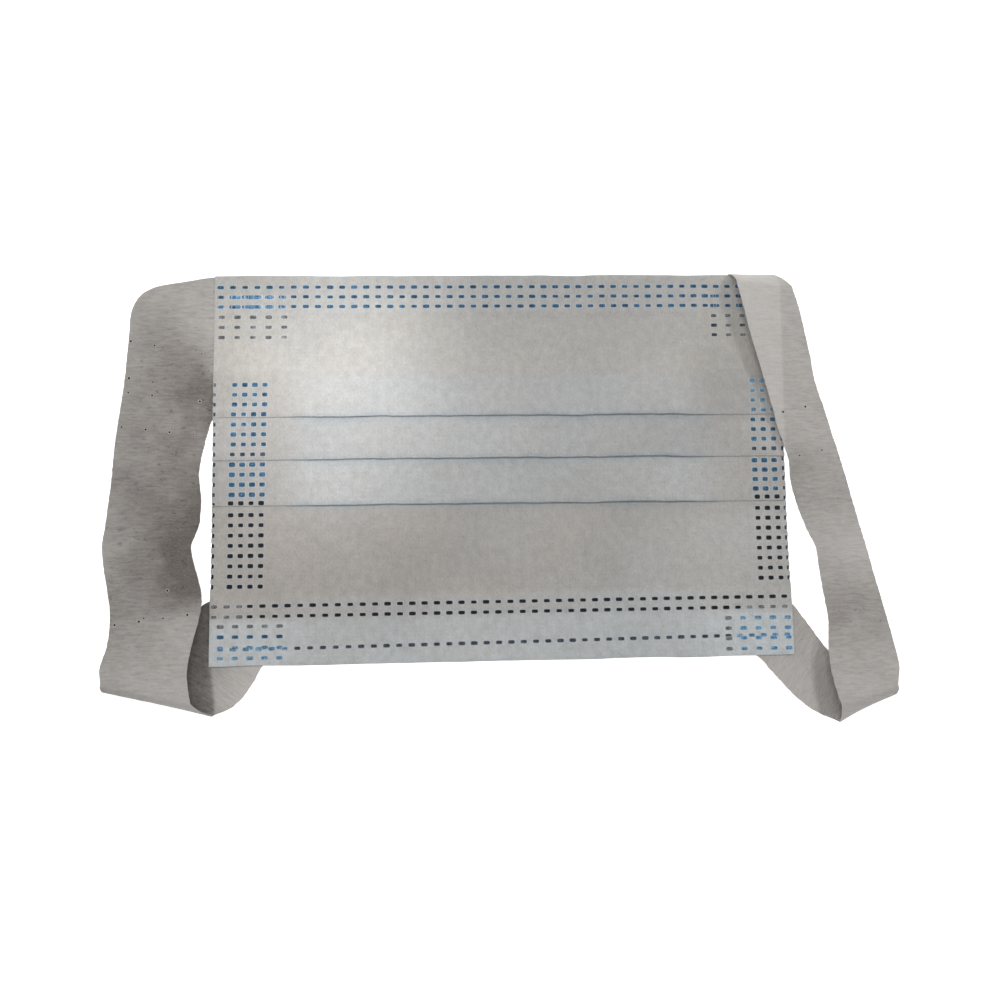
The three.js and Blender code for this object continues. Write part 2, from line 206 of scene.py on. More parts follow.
RIGHT_STRAP = (
    StrapRow(70.2, 31.8, FLAT, 53.6, 31.8, FLAT, 0.9, 0.9),
    StrapRow(70.3, 40.0, FLAT, 55.8, 40.0, FLAT, 0.9, 0.9),
    StrapRow(70.4, 48.3, FLAT, 58.8, 48.3, FLAT, 0.9, 0.9, 1.0, 1.0),
    StrapRow(74.6, 43.8, 3.6, 60.0, 45.4, 5.0, 0.82, 0.9),
    StrapRow(75.9, 40.0, 3.0, 61.6, 38.8, 4.4, 0.82, 0.9),
    StrapRow(77.5, 32.1, 2.6, 63.3, 31.7, 3.7, 0.8, 0.88),
    StrapRow(78.6, 26.0, 2.3, 64.9, 26.0, 3.2, 0.8, 0.86),
    StrapRow(79.4, 20.5, 1.9, 66.3, 21.2, 2.7, 0.78, 0.84),
    StrapRow(82.0, 12.5, 1.2, 68.6, 12.3, 2.2, 0.8, 0.82),
    StrapRow(83.4, 7.4, 0.7, 69.6, 7.9, 1.9, 0.8, 0.76),
    StrapRow(84.6, 3.8, 0.4, 70.8, 4.2, 1.7, 0.78, 0.7),
    StrapRow(85.6, 0.0, FLAT, 72.0, 0.2, 1.2, 0.74, 0.6),
    StrapRow(86.8, -5.0, FLAT, 72.4, -5.0, 0.6, 0.68, 0.52),
    StrapRow(87.9, -10.0, FLAT, 73.6, -10.0, FLAT, 0.74, 0.6),
    StrapRow(89.8, -17.6, FLAT, 76.1, -17.4, FLAT, 0.88, 0.76),
    StrapRow(90.8, -21.6, FLAT, 77.9, -21.4, FLAT, 0.92, 0.82),
    StrapRow(92.0, -27.0, FLAT, 78.7, -27.6, FLAT, 0.84, 0.74),
    StrapRow(93.8, -34.4, FLAT, 79.6, -34.6, 0.4, 0.62, 0.5),
    StrapRow(95.0, -40.2, 0.6, 80.0, -40.0, 1.2, 0.58, 0.46),
    StrapRow(95.9, -46.4, 1.8, 79.0, -47.0, 3.0, 0.72, 0.7),
    StrapRow(96.3, -51.4, 2.8, 79.3, -52.8, 3.8, 0.78, 0.82),
    StrapRow(95.4, -56.0, 3.8, 81.0, -60.6, 4.4, 0.78, 0.86, 1.9, 0.7),
    StrapRow(92.0, -57.6, FLAT, 81.6, -64.6, FLAT, 0.6, 0.85),
    StrapRow(86.6, -53.4, FLAT, 75.4, -61.8, FLAT, 0.75, 0.86),
    StrapRow(79.9, -47.4, FLAT, 70.2, -57.4, FLAT, 0.8, 0.92),
    StrapRow(74.3, -39.6, FLAT, 65.4, -52.0, FLAT, 0.7, 0.86),
    StrapRow(70.4, -35.0, FLAT, 62.0, -48.4, FLAT, 0.6, 0.76),
    StrapRow(62.5, -33.8, FLAT, 57.5, -47.6, FLAT, 0.9, 0.9),
    StrapRow(53.8, -34.0, FLAT, 53.6, -47.5, FLAT, 0.9, 0.9),
)

# ---- welds ----
# Each block of weld dots: its first dot, how many across and down, the steps between them, the
# size of a dot, the name of its tint, how much each step across differs from the one before, and
# how much higher each dot across is than the one before.
WeldBlock = namedtuple(
    "WeldBlock", "x y across down step_x step_y width depth tint gain climb", defaults=(0, 0)
)

# Width and depth of the dots.
HEM_DOT = (1.6, 0.9)
SIDE_DOT = (1.38, 1.08)
BIG_DOT = (1.6, 1.22)
EDGE_DOT = (0.75, 1.15)
WELD_BLOCKS = (
    # top hem and the strap patches that overlap it
    WeldBlock(-69.8, 45.5, 47, 3, 3.05, 2.52, *HEM_DOT, "blue", -0.0031),
    WeldBlock(-69.6, 42.95, 1, 2, 3.88, 2.52, *HEM_DOT, "bright"),
    WeldBlock(-65.9, 42.95, 1, 2, 3.88, 2.52, 2.5, 1.05, "bright"),
    WeldBlock(-61.7, 42.95, 1, 2, 3.88, 2.52, 4.4, 1.1, "bright"),
    WeldBlock(-57.6, 42.95, 1, 2, 3.88, 2.52, 2.5, 1.05, "bright"),
    WeldBlock(-54.1, 42.95, 1, 2, 3.88, 2.52, *HEM_DOT, "bright"),
    WeldBlock(-69.4, 37.8, 5, 3, 3.88, 2.6, *HEM_DOT, "grey"),
    WeldBlock(54.8, 42.95, 5, 2, 3.65, 2.52, *HEM_DOT, "blue"),
    WeldBlock(54.8, 37.8, 1, 1, 3.65, 2.5, *HEM_DOT, "grey"),
    WeldBlock(54.8, 35.3, 1, 2, 3.65, 2.5, *HEM_DOT, "dusk"),
    WeldBlock(58.45, 37.8, 4, 3, 3.65, 2.5, *HEM_DOT, "grey"),
    # left side
    WeldBlock(-65.9, 20.4, 4, 3, 2.47, 2.5, *SIDE_DOT, "blue"),
    WeldBlock(-66.1, 12.9, 4, 4, 2.47, 2.5, *SIDE_DOT, "blue"),
    WeldBlock(-66.3, 2.9, 4, 1, 2.47, 2.5, *SIDE_DOT, "dusk"),
    WeldBlock(-66.4, 0.4, 4, 4, 2.47, 2.5, *BIG_DOT, "blue"),
    WeldBlock(-66.6, -9.2, 4, 1, 2.47, 2.51, *SIDE_DOT, "black"),
    WeldBlock(-66.6, -12.1, 4, 8, 2.47, 2.51, *SIDE_DOT, "black"),
    WeldBlock(-70.8, 20.4, 1, 2, 1, 2.5, *EDGE_DOT, "grey"),
    WeldBlock(-70.8, 15.4, 1, 10, 1, 2.5, *EDGE_DOT, "dusk"),
    WeldBlock(-70.8, -9.6, 1, 9, 1, 2.51, *EDGE_DOT, "black"),
    # right side
    WeldBlock(63.9, 20.8, 3, 4, 2.5, 2.5, *SIDE_DOT, "light"),
    WeldBlock(63.7, 10.8, 3, 3, 2.5, 2.5, *SIDE_DOT, "blue"),
    WeldBlock(63.6, 3.3, 3, 1, 2.5, 2.5, *SIDE_DOT, "dusk"),
    WeldBlock(63.6, 0.35, 3, 4, 2.5, 2.4, *BIG_DOT, "blue"),
    WeldBlock(63.9, -8.9, 3, 1, 2.5, 2.5, *SIDE_DOT, "black"),
    WeldBlock(63.9, -11.7, 3, 8, 2.5, 2.5, *SIDE_DOT, "black"),
    WeldBlock(70.8, 20.8, 1, 21, 1, 2.5, *EDGE_DOT, "dusk"),
    # lower hem, its upper double row
    WeldBlock(-70.2, -34.5, 3, 2, 3.04, 2.5, *HEM_DOT, "grey", 0, 0.014),
    WeldBlock(-61.6, -34.45, 41, 2, 3.036, 2.5, *HEM_DOT, "black", -0.0027, 0.014),
    WeldBlock(60.64, -33.88, 4, 1, 2.92, 2.5, *HEM_DOT, "black", 0, 0.014),
    WeldBlock(60.64, -36.38, 4, 1, 2.92, 2.5, *HEM_DOT, "grey", 0, 0.014),
    # lower hem, its single row
    WeldBlock(-68.6, -44.8, 6, 1, 3.08, 1, *HEM_DOT, "light", 0, 0.02),
    WeldBlock(-50.1, -44.7, 36, 1, 3.08, 1, *HEM_DOT, "dusk", -0.0044, 0.04),
    WeldBlock(57.95, -43.3, 5, 1, 2.93, 1, *HEM_DOT, "light", 0, 0.03),
    # lower strap patches
    WeldBlock(-68.6, -39.3, 5, 1, 3.55, 1, *HEM_DOT, "grey"),
    WeldBlock(-68.6, -41.8, 5, 1, 3.55, 1, *HEM_DOT, "blue"),
    WeldBlock(-68.6, -44.4, 5, 1, 3.55, 1, *HEM_DOT, "bright"),
    WeldBlock(-68.6, -46.9, 5, 1, 3.55, 1, *HEM_DOT, "light"),
    WeldBlock(55.2, -39.0, 1, 4, 3.7, 2.5, *HEM_DOT, "grey"),
    WeldBlock(58.9, -39.0, 4, 1, 3.7, 2.5, *HEM_DOT, "light"),
    WeldBlock(58.9, -41.5, 4, 1, 3.7, 2.5, *HEM_DOT, "bright"),
    WeldBlock(58.9, -43.9, 4, 2, 3.7, 2.6, *HEM_DOT, "bright"),
)

# The dot's own section, from its outer rim to its middle: reach as a share of the half size,
# height in millimetres, and how much of the tint shows there.
StampRing = namedtuple("StampRing", "reach height core")
STAMP_RINGS = (
    StampRing(1.36, -0.04, 0.0),
    StampRing(1.04, 0.03, 0.08),
    StampRing(0.94, 0.04, 0.85),
    StampRing(0.68, 0.02, 1.0),
)
STAMP_SECTORS = 12
STAMP_SQUARENESS = 5.5

# A pinhole is a round stamp. Its size differs more than that of a dot.
PINHOLE_SQUARENESS = 2.0
PINHOLE_SPREAD = 2.5
PINHOLE_RINGS = (
    StampRing(1.9, -0.04, 0.0),
    StampRing(1.2, 0.05, 0.1),
    StampRing(0.8, 0.02, 1.0),
)
# The pinholes lie in rows across a strap, one pitch apart: the first one, how many there are, and
# how much higher each is than the one before.
PinholeRow = namedtuple("PinholeRow", "x y count climb")
PINHOLE_PITCH = 5.85
LEFT_PINHOLES = (
    PinholeRow(-91.8, 31.8, 2, -1.1),
    PinholeRow(-74.3, 28.5, 1, 0),
    PinholeRow(-72.6, 24.1, 1, 0),
    PinholeRow(-92.0, 22.4, 2, -1.0),
    PinholeRow(-92.1, 18.8, 4, -0.8),
    PinholeRow(-93.5, 10.1, 4, -0.7),
    PinholeRow(-81.3, -30.4, 1, 0),
    PinholeRow(-93.6, -38.5, 4, 0.7),
    PinholeRow(-86.6, -37.0, 1, 0),
)
RIGHT_PINHOLES = (
    PinholeRow(71.0, 12.3, 2, 1.4),
    PinholeRow(74.9, 1.3, 2, 1.4),
)

# Height from which the stamps are dropped onto the cloth.
DROP_HEIGHT = 50

# ---- stage ----
FLOOR_REACH = 3000
FLOOR_DROP = 0.02

# Lamps: place, target, power as a share of the setting's, and size.
Lamp = namedtuple("Lamp", "name kind place target share size")
KEY_LAMPS = (
    Lamp("left_key", "AREA", (-330, 160, 300), (-60, 0, 0), 1, 90),
    Lamp("right_key", "AREA", (330, 170, 300), (60, 0, 0), 1, 70),
    Lamp("overhead", "AREA", (0, 60, 620), (0, 0, 0), 2.2, 420),
)
POOL_LAMP = Lamp("left_pool", "SPOT", (-52, 54, 330), (-42, 20, 0), 1, 20)
POOL_CONE = math.radians(14)


# ---- settings ----


class MaskPanelSettings(bpy.types.PropertyGroup):
    """Sizes and colours of the panel."""

    cloth: FloatProperty(
        name="Cloth", description="Thickness of the panel's cloth", default=0.22 * MM,
        min=0.1 * MM, max=1 * MM, precision=5, unit="LENGTH",
    )
    layer: FloatProperty(
        name="Layer", description="Height from one folded layer to the next",
        default=0.3 * MM, min=0.1 * MM, max=1.3 * MM, precision=5, unit="LENGTH",
    )
    wave: FloatProperty(
        name="Wave", description="Height of the slow waves in the loose cloth",
        default=0.35 * MM, min=0, max=1 * MM, precision=5, unit="LENGTH",
    )
    strap_lift: FloatProperty(
        name="Strap lift", description="How far a strap end raises a corner",
        default=0.4 * MM, min=0, max=2 * MM, precision=5, unit="LENGTH",
    )
    stacked: FloatVectorProperty(
        name="Stacked cloth", description="Colour where the pleats lie three deep",
        default=(0.535, 0.545, 0.547), size=3, min=0, max=1, subtype="COLOR",
    )
    single: FloatVectorProperty(
        name="Single cloth", description="Colour where the cloth lies one deep",
        default=(0.482, 0.458, 0.433), size=3, min=0, max=1, subtype="COLOR",
    )
    upper: FloatVectorProperty(
        name="Upper cloth", description="Colour of the single cloth above the pleats",
        default=(0.545, 0.528, 0.500), size=3, min=0, max=1, subtype="COLOR",
    )
    outer_ply: FloatVectorProperty(
        name="Outer ply", description="Colour of the side that faces down",
        default=(0.360, 0.520, 0.640), size=3, min=0, max=1, subtype="COLOR",
    )
    # The crease colour is partly the outer ply showing at a fold and partly painted shade in and
    # beside the fold.
    crease: FloatVectorProperty(
        name="Crease", description="Colour of the cloth at a fold's edge",
        default=(0.320, 0.395, 0.455), size=3, min=0, max=1, subtype="COLOR",
    )
    patch: FloatVectorProperty(
        name="Patch", description="Colour of the cloth pressed over the lower strap ends",
        default=(0.690, 0.745, 0.780), size=3, min=0, max=1, subtype="COLOR",
    )


class EarStrapSettings(bpy.types.PropertyGroup):
    """Sizes and colours of the two straps."""

    cloth: FloatProperty(
        name="Cloth", description="Thickness of a strap", default=0.26 * MM,
        min=0.1 * MM, max=1 * MM, precision=5, unit="LENGTH",
    )
    crepe: FloatProperty(
        name="Crepe", description="Depth of the fine crosswise wrinkles",
        default=0.09 * MM, min=0, max=0.3 * MM, precision=5, unit="LENGTH",
    )
    ripple: FloatProperty(
        name="Ripple", description="Height of the slow ripples along a strap",
        default=0.35 * MM, min=0, max=1 * MM, precision=5, unit="LENGTH",
    )
    pale: FloatVectorProperty(
        name="Pale", description="Colour of the smooth, dense parts",
        default=(0.622, 0.594, 0.568), size=3, min=0, max=1, subtype="COLOR",
    )
    deep: FloatVectorProperty(
        name="Deep", description="Colour of the thin parts",
        default=(0.180, 0.161, 0.143), size=3, min=0, max=1, subtype="COLOR",
    )


class WeldSettings(bpy.types.PropertyGroup):
    """Tints and sizes of the weld dots and the pinholes."""

    blue: FloatVectorProperty(
        name="Blue", description="Most welds of the top hem and the sides",
        default=(0.028, 0.078, 0.138), size=3, min=0, max=1, subtype="COLOR",
    )
    bright: FloatVectorProperty(
        name="Bright", description="Welds that run into each other in the patches",
        default=(0.080, 0.195, 0.320), size=3, min=0, max=1, subtype="COLOR",
    )
    light: FloatVectorProperty(
        name="Light", description="Welds of the lower corners",
        default=(0.105, 0.205, 0.300), size=3, min=0, max=1, subtype="COLOR",
    )
    dusk: FloatVectorProperty(
        name="Dusk", description="Dark grey-blue welds",
        default=(0.038, 0.046, 0.060), size=3, min=0, max=1, subtype="COLOR",
    )
    grey: FloatVectorProperty(
        name="Grey", description="Welds through a strap end",
        default=(0.120, 0.118, 0.118), size=3, min=0, max=1, subtype="COLOR",
    )
    black: FloatVectorProperty(
        name="Black", description="Welds of the single cloth and the lower hem",
        default=(0.007, 0.007, 0.008), size=3, min=0, max=1, subtype="COLOR",
    )
    rim: FloatVectorProperty(
        name="Rim", description="The pale rim round each weld",
        default=(0.62, 0.67, 0.71), size=3, min=0, max=1, subtype="COLOR",
    )
    hole: FloatVectorProperty(
        name="Hole", description="What shows through a pinhole",
        default=(0.03, 0.026, 0.022), size=3, min=0, max=1, subtype="COLOR",
    )
    spread: FloatProperty(
        name="Spread", description="How much the dots differ in size",
        default=0.1, min=0, max=0.4, subtype="FACTOR",
    )
    seed: IntProperty(name="Seed", description="Seed of the dots' sizes", default=7, min=0)
    pinhole: FloatProperty(
        name="Pinhole", description="Diameter of a pinhole in a strap",
        default=0.5 * MM, min=0.2 * MM, max=2 * MM, precision=5, unit="LENGTH",
    )


class StageSettings(bpy.types.PropertyGroup):
    """Floor, lights and camera."""

    floor: FloatVectorProperty(
        name="Floor", description="Colour of the floor",
        default=(0.86, 0.86, 0.86), size=3, min=0, max=1, subtype="COLOR",
    )
    glow: FloatProperty(
        name="Glow", description="Light that the floor gives of itself", default=0.75, min=0, max=2,
    )
    key: FloatProperty(
        name="Key", description="Power of each side light, in watts", default=0.42, min=0, max=20,
    )
    pool: FloatProperty(
        name="Pool", description="Power of the soft light over the left of the panel, in watts",
        default=2.6, min=0, max=20,
    )
    sky: FloatProperty(
        name="Sky", description="Strength of the even light all round", default=0.34, min=0, max=5,
    )
    camera: FloatVectorProperty(
        name="Camera", description="Place of the camera from the middle of the panel",
        default=(-14.4 * MM, -50.5 * MM, 295.3 * MM), size=3, precision=5, subtype="XYZ",
        unit="LENGTH",
    )
    target: FloatVectorProperty(
        name="Target", description="Point that the camera looks at",
        default=(-0.5 * MM, -9.0 * MM, 0.0), size=3, precision=5, subtype="XYZ", unit="LENGTH",
    )
    roll: FloatProperty(
        name="Roll", description="Turn of the camera about its own line of sight",
        default=math.radians(-0.98), subtype="ANGLE",
    )
    lens: FloatProperty(
        name="Lens", description="Focal length in millimetres on a 36 mm sensor", default=43.34,
    )


# ---- shared helpers ----


def ease(value, low, high):
    """0 below low, 1 above high, with a smooth step between."""
    share = np.clip((value - low) / (high - low), 0, 1)
    return share * share * (3 - 2 * share)


def drift(place, wave, phase):
    """A slow wander between -1 and 1 with waves about as long as wave."""
    total = 0
    for turn in range(4):
        length = wave * (0.6 + 0.37 * turn)
        total = total + np.sin(2 * math.pi * place / length + phase + 2.3 * turn)
    return total / 4


def placed(points):
    """Points in millimetres from the middle of the panel, as metres in the frame."""
    return np.asarray(points, float) * MM + np.array(PANEL_MIDDLE)


def enclosed_volume(points, quads):
    """Volume inside a closed set of quads, negative when they face inwards."""
    a, b, c, d = (points[quads[:, i]] for i in range(4))
    first = np.einsum("ij,ij->i", a, np.cross(b, c)).sum()
    second = np.einsum("ij,ij->i", a, np.cross(c, d)).sum()
    return (first + second) / 6


def closed_sheet(name, upper, lower, cloth_map, values, finishes):
    """A closed mesh between an upper and a lower net of points, with a UV map in metres along
    the cloth and named values at its points. The second finish goes on the lower side."""
    rows, columns = upper.shape[:2]
    points = np.concatenate([upper.reshape(-1, 3), lower.reshape(-1, 3)])
    top = np.arange(rows * columns).reshape(rows, columns)
    under = top + rows * columns

    def quads(a, b, c, d):
        return np.stack([a.ravel(), b.ravel(), c.ravel(), d.ravel()], axis=1)

    upside = quads(top[:-1, :-1], top[1:, :-1], top[1:, 1:], top[:-1, 1:])
    downside = quads(under[:-1, :-1], under[:-1, 1:], under[1:, 1:], under[1:, :-1])
    rims = np.concatenate([
        quads(top[:-1, 0], under[:-1, 0], under[1:, 0], top[1:, 0]),
        quads(top[:-1, -1], top[1:, -1], under[1:, -1], under[:-1, -1]),
        quads(top[0, :-1], top[0, 1:], under[0, 1:], under[0, :-1]),
        quads(top[-1, :-1], under[-1, :-1], under[-1, 1:], top[-1, 1:]),
    ])
    faces = np.concatenate([upside, rims, downside])
    if enclosed_volume(points, faces) < 0:
        faces = faces[:, ::-1]
    mesh = bpy.data.meshes.new(name)
    mesh.from_pydata(points.tolist(), [], faces.tolist())
    mesh.polygons.foreach_set("use_smooth", np.ones(len(faces), bool))
    finish_index = np.zeros(len(faces), np.int32)
    if len(finishes) > 1:
        finish_index[-len(downside):] = 1
    mesh.polygons.foreach_set("material_index", finish_index)
    mesh.set_sharp_from_angle(angle=SHARP_ANGLE)
    for finish in finishes:
        mesh.materials.append(finish)
    corner = np.empty(len(mesh.loops), np.int32)
    mesh.loops.foreach_get("vertex_index", corner)
    flat = np.concatenate([cloth_map.reshape(-1, 2)] * 2)
    mesh.uv_layers.new(name="cloth").uv.foreach_set("vector", flat[corner].ravel())
    for label, value in values.items():
        layer = mesh.attributes.new(label, "FLOAT", "POINT")
        layer.data.foreach_set("value", np.concatenate([value.ravel()] * 2))
    mesh.update()
    piece = bpy.data.objects.new(name, mesh)
    bpy.context.scene.collection.objects.link(piece)
    return piece


def add_node(tree, kind, inputs=None, **settings):
    """A new node with its settings, and its inputs given as values or as sockets to link."""
    node = tree.nodes.new(kind)
    for label, value in settings.items():
        setattr(node, label, value)
    for label, value in (inputs or {}).items():
        if isinstance(value, bpy.types.NodeSocket):
            tree.links.new(value, node.inputs[label])
        else:
            node.inputs[label].default_value = value
    return node


def blended(tree, share, first, second, mode="MIX"):
    """Colour between first and second. Sockets 6 and 7 are the node's two colours."""
    inputs = {0: share, 6: first, 7: second}
    node = add_node(tree, "ShaderNodeMix", inputs, data_type="RGBA", blend_type=mode)
    return node.outputs[2]


def ranged(tree, value, low, high, to_low, to_high):
    """value between low and high, spread from to_low to to_high."""
    inputs = {
        "Value": value, "From Min": low, "From Max": high, "To Min": to_low, "To Max": to_high,
    }
    return add_node(tree, "ShaderNodeMapRange", inputs).outputs[0]


def combined(tree, operation, first, second):
    """A number worked out from two."""
    return add_node(tree, "ShaderNodeMath", {0: first, 1: second}, operation=operation).outputs[0]


def speckle(tree, place, stretch, detail=4.0, roughness=0.6):
    """Noise from 0 to 1, with stretch giving its cells for each metre along the three axes."""
    scaled = add_node(tree, "ShaderNodeVectorMath", {0: place, 1: stretch}, operation="MULTIPLY")
    inputs = {"Vector": scaled.outputs[0], "Scale": 1.0, "Detail": detail, "Roughness": roughness}
    return add_node(tree, "ShaderNodeTexNoise", inputs).outputs[0]


def rgba(colour):
    """A colour with full opacity."""
    return (*colour, 1.0)


def new_finish(name, roughness, sheen, specular):
    """A material with a shader whose even values are set on its own sockets."""
    finish = bpy.data.materials.new(name)
    finish.use_nodes = True
    tree = finish.node_tree
    tree.nodes.clear()
    inputs = {
        "Roughness": roughness, "Sheen Weight": sheen, "Sheen Roughness": 0.5,
        "Specular IOR Level": specular, "Metallic": 0.0,
    }
    shader = add_node(tree, "ShaderNodeBsdfPrincipled", inputs)
    output = add_node(tree, "ShaderNodeOutputMaterial")
    tree.links.new(shader.outputs[0], output.inputs["Surface"])
    return finish, tree, shader


# ---- panel ----


def panel_finish(name, stacked, single, upper, crease, film):
    """Soft thermally bonded web: fibres along the panel's height, small bond points, cloudy
    patches, cooler where the pleats are stacked and warmer where the cloth is single. Broad
    patches at random are darker as painted soft shade, and the stack value also carries painted
    light that makes the cloth below the pleats paler and cooler towards the right. crease is the
    colour at a fold, partly the outer ply showing there and partly painted shade in and below the
    fold. film is the colour where the cloth is pressed over a strap end."""
    finish, tree, shader = new_finish(name, 0.9, 0.25, 0.22)
    cloth = add_node(tree, "ShaderNodeUVMap", uv_map="cloth").outputs[0]
    fibres = speckle(tree, cloth, (2800, 1500, 1), 5, 0.65)
    mottle = speckle(tree, cloth, (560, 430, 1), 5, 0.6)
    cloud = speckle(tree, cloth, (48, 40, 1), 4, 0.55)
    shade_patches = speckle(tree, cloth, (26, 22, 1), 3, 0.5)
    spaced = add_node(
        tree, "ShaderNodeVectorMath", {0: cloth, 1: (1000, 1000, 1)}, operation="MULTIPLY"
    )
    bonds = add_node(
        tree, "ShaderNodeTexVoronoi",
        {"Vector": spaced.outputs[0], "Scale": 1.0, "Randomness": 0.35}, voronoi_dimensions="2D",
    )
    bond = ranged(tree, bonds.outputs["Distance"], 0.12, 0.34, 1.0, 0.0)

    stack = add_node(tree, "ShaderNodeAttribute", attribute_name="stack").outputs["Fac"]
    fold = add_node(tree, "ShaderNodeAttribute", attribute_name="crease").outputs["Fac"]
    raised = add_node(tree, "ShaderNodeAttribute", attribute_name="top").outputs["Fac"]
    lone = blended(tree, raised, rgba(single), rgba(upper))
    colour = blended(tree, stack, lone, rgba(stacked))
    warm = blended(tree, 1.0, colour, (1.0, 0.972, 0.94, 1), "MULTIPLY")
    patch = ranged(tree, cloud, 0.35, 0.68, 0.0, 0.8)
    colour = blended(tree, patch, colour, warm)
    shade = ranged(tree, mottle, 0.3, 0.72, 0.89, 1.09)
    colour = blended(tree, 1.0, colour, shade, "MULTIPLY")
    # Painted soft shade: broad patches at random, at most a tenth darker.
    patch_shade = ranged(tree, shade_patches, 0.36, 0.66, 0.9, 1.06)
    colour = blended(tree, 1.0, colour, patch_shade, "MULTIPLY")
    grain = ranged(tree, fibres, 0.3, 0.7, 0.87, 1.1)
    colour = blended(tree, 1.0, colour, grain, "MULTIPLY")
    pressed = add_node(tree, "ShaderNodeAttribute", attribute_name="patch").outputs["Fac"]
    share = combined(tree, "MULTIPLY", pressed, ranged(tree, mottle, 0.3, 0.7, 0.3, 0.7))
    colour = blended(tree, share, colour, rgba(film))
    # Painted shade at the folds: the crease colour on each fold and beside it, partly the outer ply
    # showing there, with noise in its share.
    smear = ranged(tree, speckle(tree, cloth, (110, 420, 1), 4, 0.6), 0.38, 0.62, 0.45, 1.1)
    colour = blended(tree, combined(tree, "MULTIPLY", fold, smear), colour, rgba(crease))
    tree.links.new(colour, shader.inputs["Base Color"])

    relief = combined(tree, "MULTIPLY", fibres, 0.6)
    relief = combined(tree, "SUBTRACT", relief, combined(tree, "MULTIPLY", bond, 0.12))
    relief = combined(tree, "ADD", relief, combined(tree, "MULTIPLY", mottle, 0.7))
    bump = add_node(
        tree, "ShaderNodeBump", {"Height": relief, "Strength": 0.9, "Distance": 0.4 * MM}
    )
    tree.links.new(bump.outputs[0], shader.inputs["Normal"])
    return finish


class SectionLine:
    """The cloth's middle line in section: points of (Y, Z), how deep the cloth is stacked there,
    and how sharply it is creased."""

    def __init__(self):
        self.points = []
        self.stack = []
        self.crease = []

    def add(self, y, z, stack, crease=0.0):
        self.points.append((y, z))
        self.stack.append(stack)
        self.crease.append(crease)

    def run(self, y_from, y_to, z_from, z_to, step, stacks):
        """Cloth that lies from one place to another, with its height eased between them."""
        steps = max(2, round(abs(y_to - y_from) / step))
        first = 1 if self.points else 0
        for i in range(first, steps + 1):
            share = i / steps
            eased = share * share * (3 - 2 * share)
            y = y_from + (y_to - y_from) * share
            z = z_from + (z_to - z_from) * eased
            self.add(y, z, stacks[0] + (stacks[1] - stacks[0]) * eased)

    def hairpin(self, y, z_from, z_to, direction, stack):
        """A half turn of the cloth, with its fold on the side that direction names."""
        radius = (z_from - z_to) / 2
        for i in range(1, HAIRPIN_STEPS + 1):
            angle = math.pi * i / HAIRPIN_STEPS
            reach = direction * abs(radius) * math.sin(angle)
            height = (z_from + z_to) / 2 + radius * math.cos(angle)
            self.add(y + reach, height, stack, math.sin(angle))


def panel_section(cloth, layer):
    """The panel's cloth in section, from the free edge of the top hem, round every fold, to the
    free edge of the lower hem. cloth and layer are millimetres here."""

    def level(count):
        return cloth / 2 + count * layer

    line = SectionLine()
    inset = layer / 2 + cloth / 2
    top = PANEL_HEIGHT / 2
    hem_end = top - TOP_HEM
    line.run(hem_end, top - inset, level(0), level(0), HIDDEN_STEP, (0.7, 0.7))
    line.hairpin(top - inset, level(0), level(1), 1, 0.6)
    line.run(top - inset, hem_end, level(1), level(1), FACE_STEP, (0.7, 0.7))
    line.run(hem_end, hem_end - HEM_SLOPE, level(1), level(0), FACE_STEP, (0.7, 0.3))
    rise_start = PLEATS[0].tuck + RISE_RUN / 2
    line.run(hem_end - HEM_SLOPE, rise_start, level(0), level(0), FACE_STEP, (0.3, 0.2))
    rise_end = PLEATS[0].tuck - RISE_RUN / 2
    line.run(rise_start, rise_end, level(0), level(RISE_LAYERS), FACE_STEP, (0.2, 1.0))

    climb_from = rise_end
    start_level = RISE_LAYERS
    for pleat in PLEATS:
        fold_middle = pleat.fold + inset
        tuck_middle = pleat.tuck - inset
        line.run(
            climb_from, fold_middle, level(start_level), level(2 + pleat.climb), FACE_STEP, (1, 1)
        )
        line.hairpin(fold_middle, level(2 + pleat.climb), level(1 + pleat.climb), -1, 1)
        line.run(
            fold_middle, tuck_middle, level(1 + pleat.climb), level(1), HIDDEN_STEP, (1, 1)
        )
        line.hairpin(tuck_middle, level(1), level(0), 1, 1)
        last = pleat is PLEATS[-1]
        line.run(
            tuck_middle, pleat.fold, level(0), level(pleat.climb), HIDDEN_STEP,
            (1, 0.12 if last else 1),
        )
        climb_from = pleat.fold
        start_level = pleat.climb

    lower_hem_end = -top + LOWER_HEM
    line.run(
        PLEATS[-1].fold, lower_hem_end + HEM_SLOPE, level(0), level(0), FACE_STEP, (0.12, 0.05)
    )
    line.run(lower_hem_end + HEM_SLOPE, lower_hem_end, level(0), level(1), FACE_STEP, (0.05, 0.6))
    line.run(lower_hem_end, -top + inset, level(1), level(1), FACE_STEP, (0.6, 0.9))
    line.hairpin(-top + inset, level(1), level(0), -1, 0.8)
    line.run(-top + inset, lower_hem_end, level(0), level(0), HIDDEN_STEP, (0.8, 0.8))
    return np.array(line.points), np.array(line.stack), np.array(line.crease)


def fold_shade_halo(y):
    """How much of the fold's colour shows on the faces beside each fold, above and below it: painted
    shade that reaches further below the fold than above it.
    """
    halo = np.zeros_like(y)
    for pleat in PLEATS:
        away = y - pleat.fold
        reach = np.where(away > 0, HALO_ABOVE, HALO_BELOW)
        halo = np.maximum(halo, HALO_SHARE * np.exp(-((away / reach) ** 2)))
    return halo


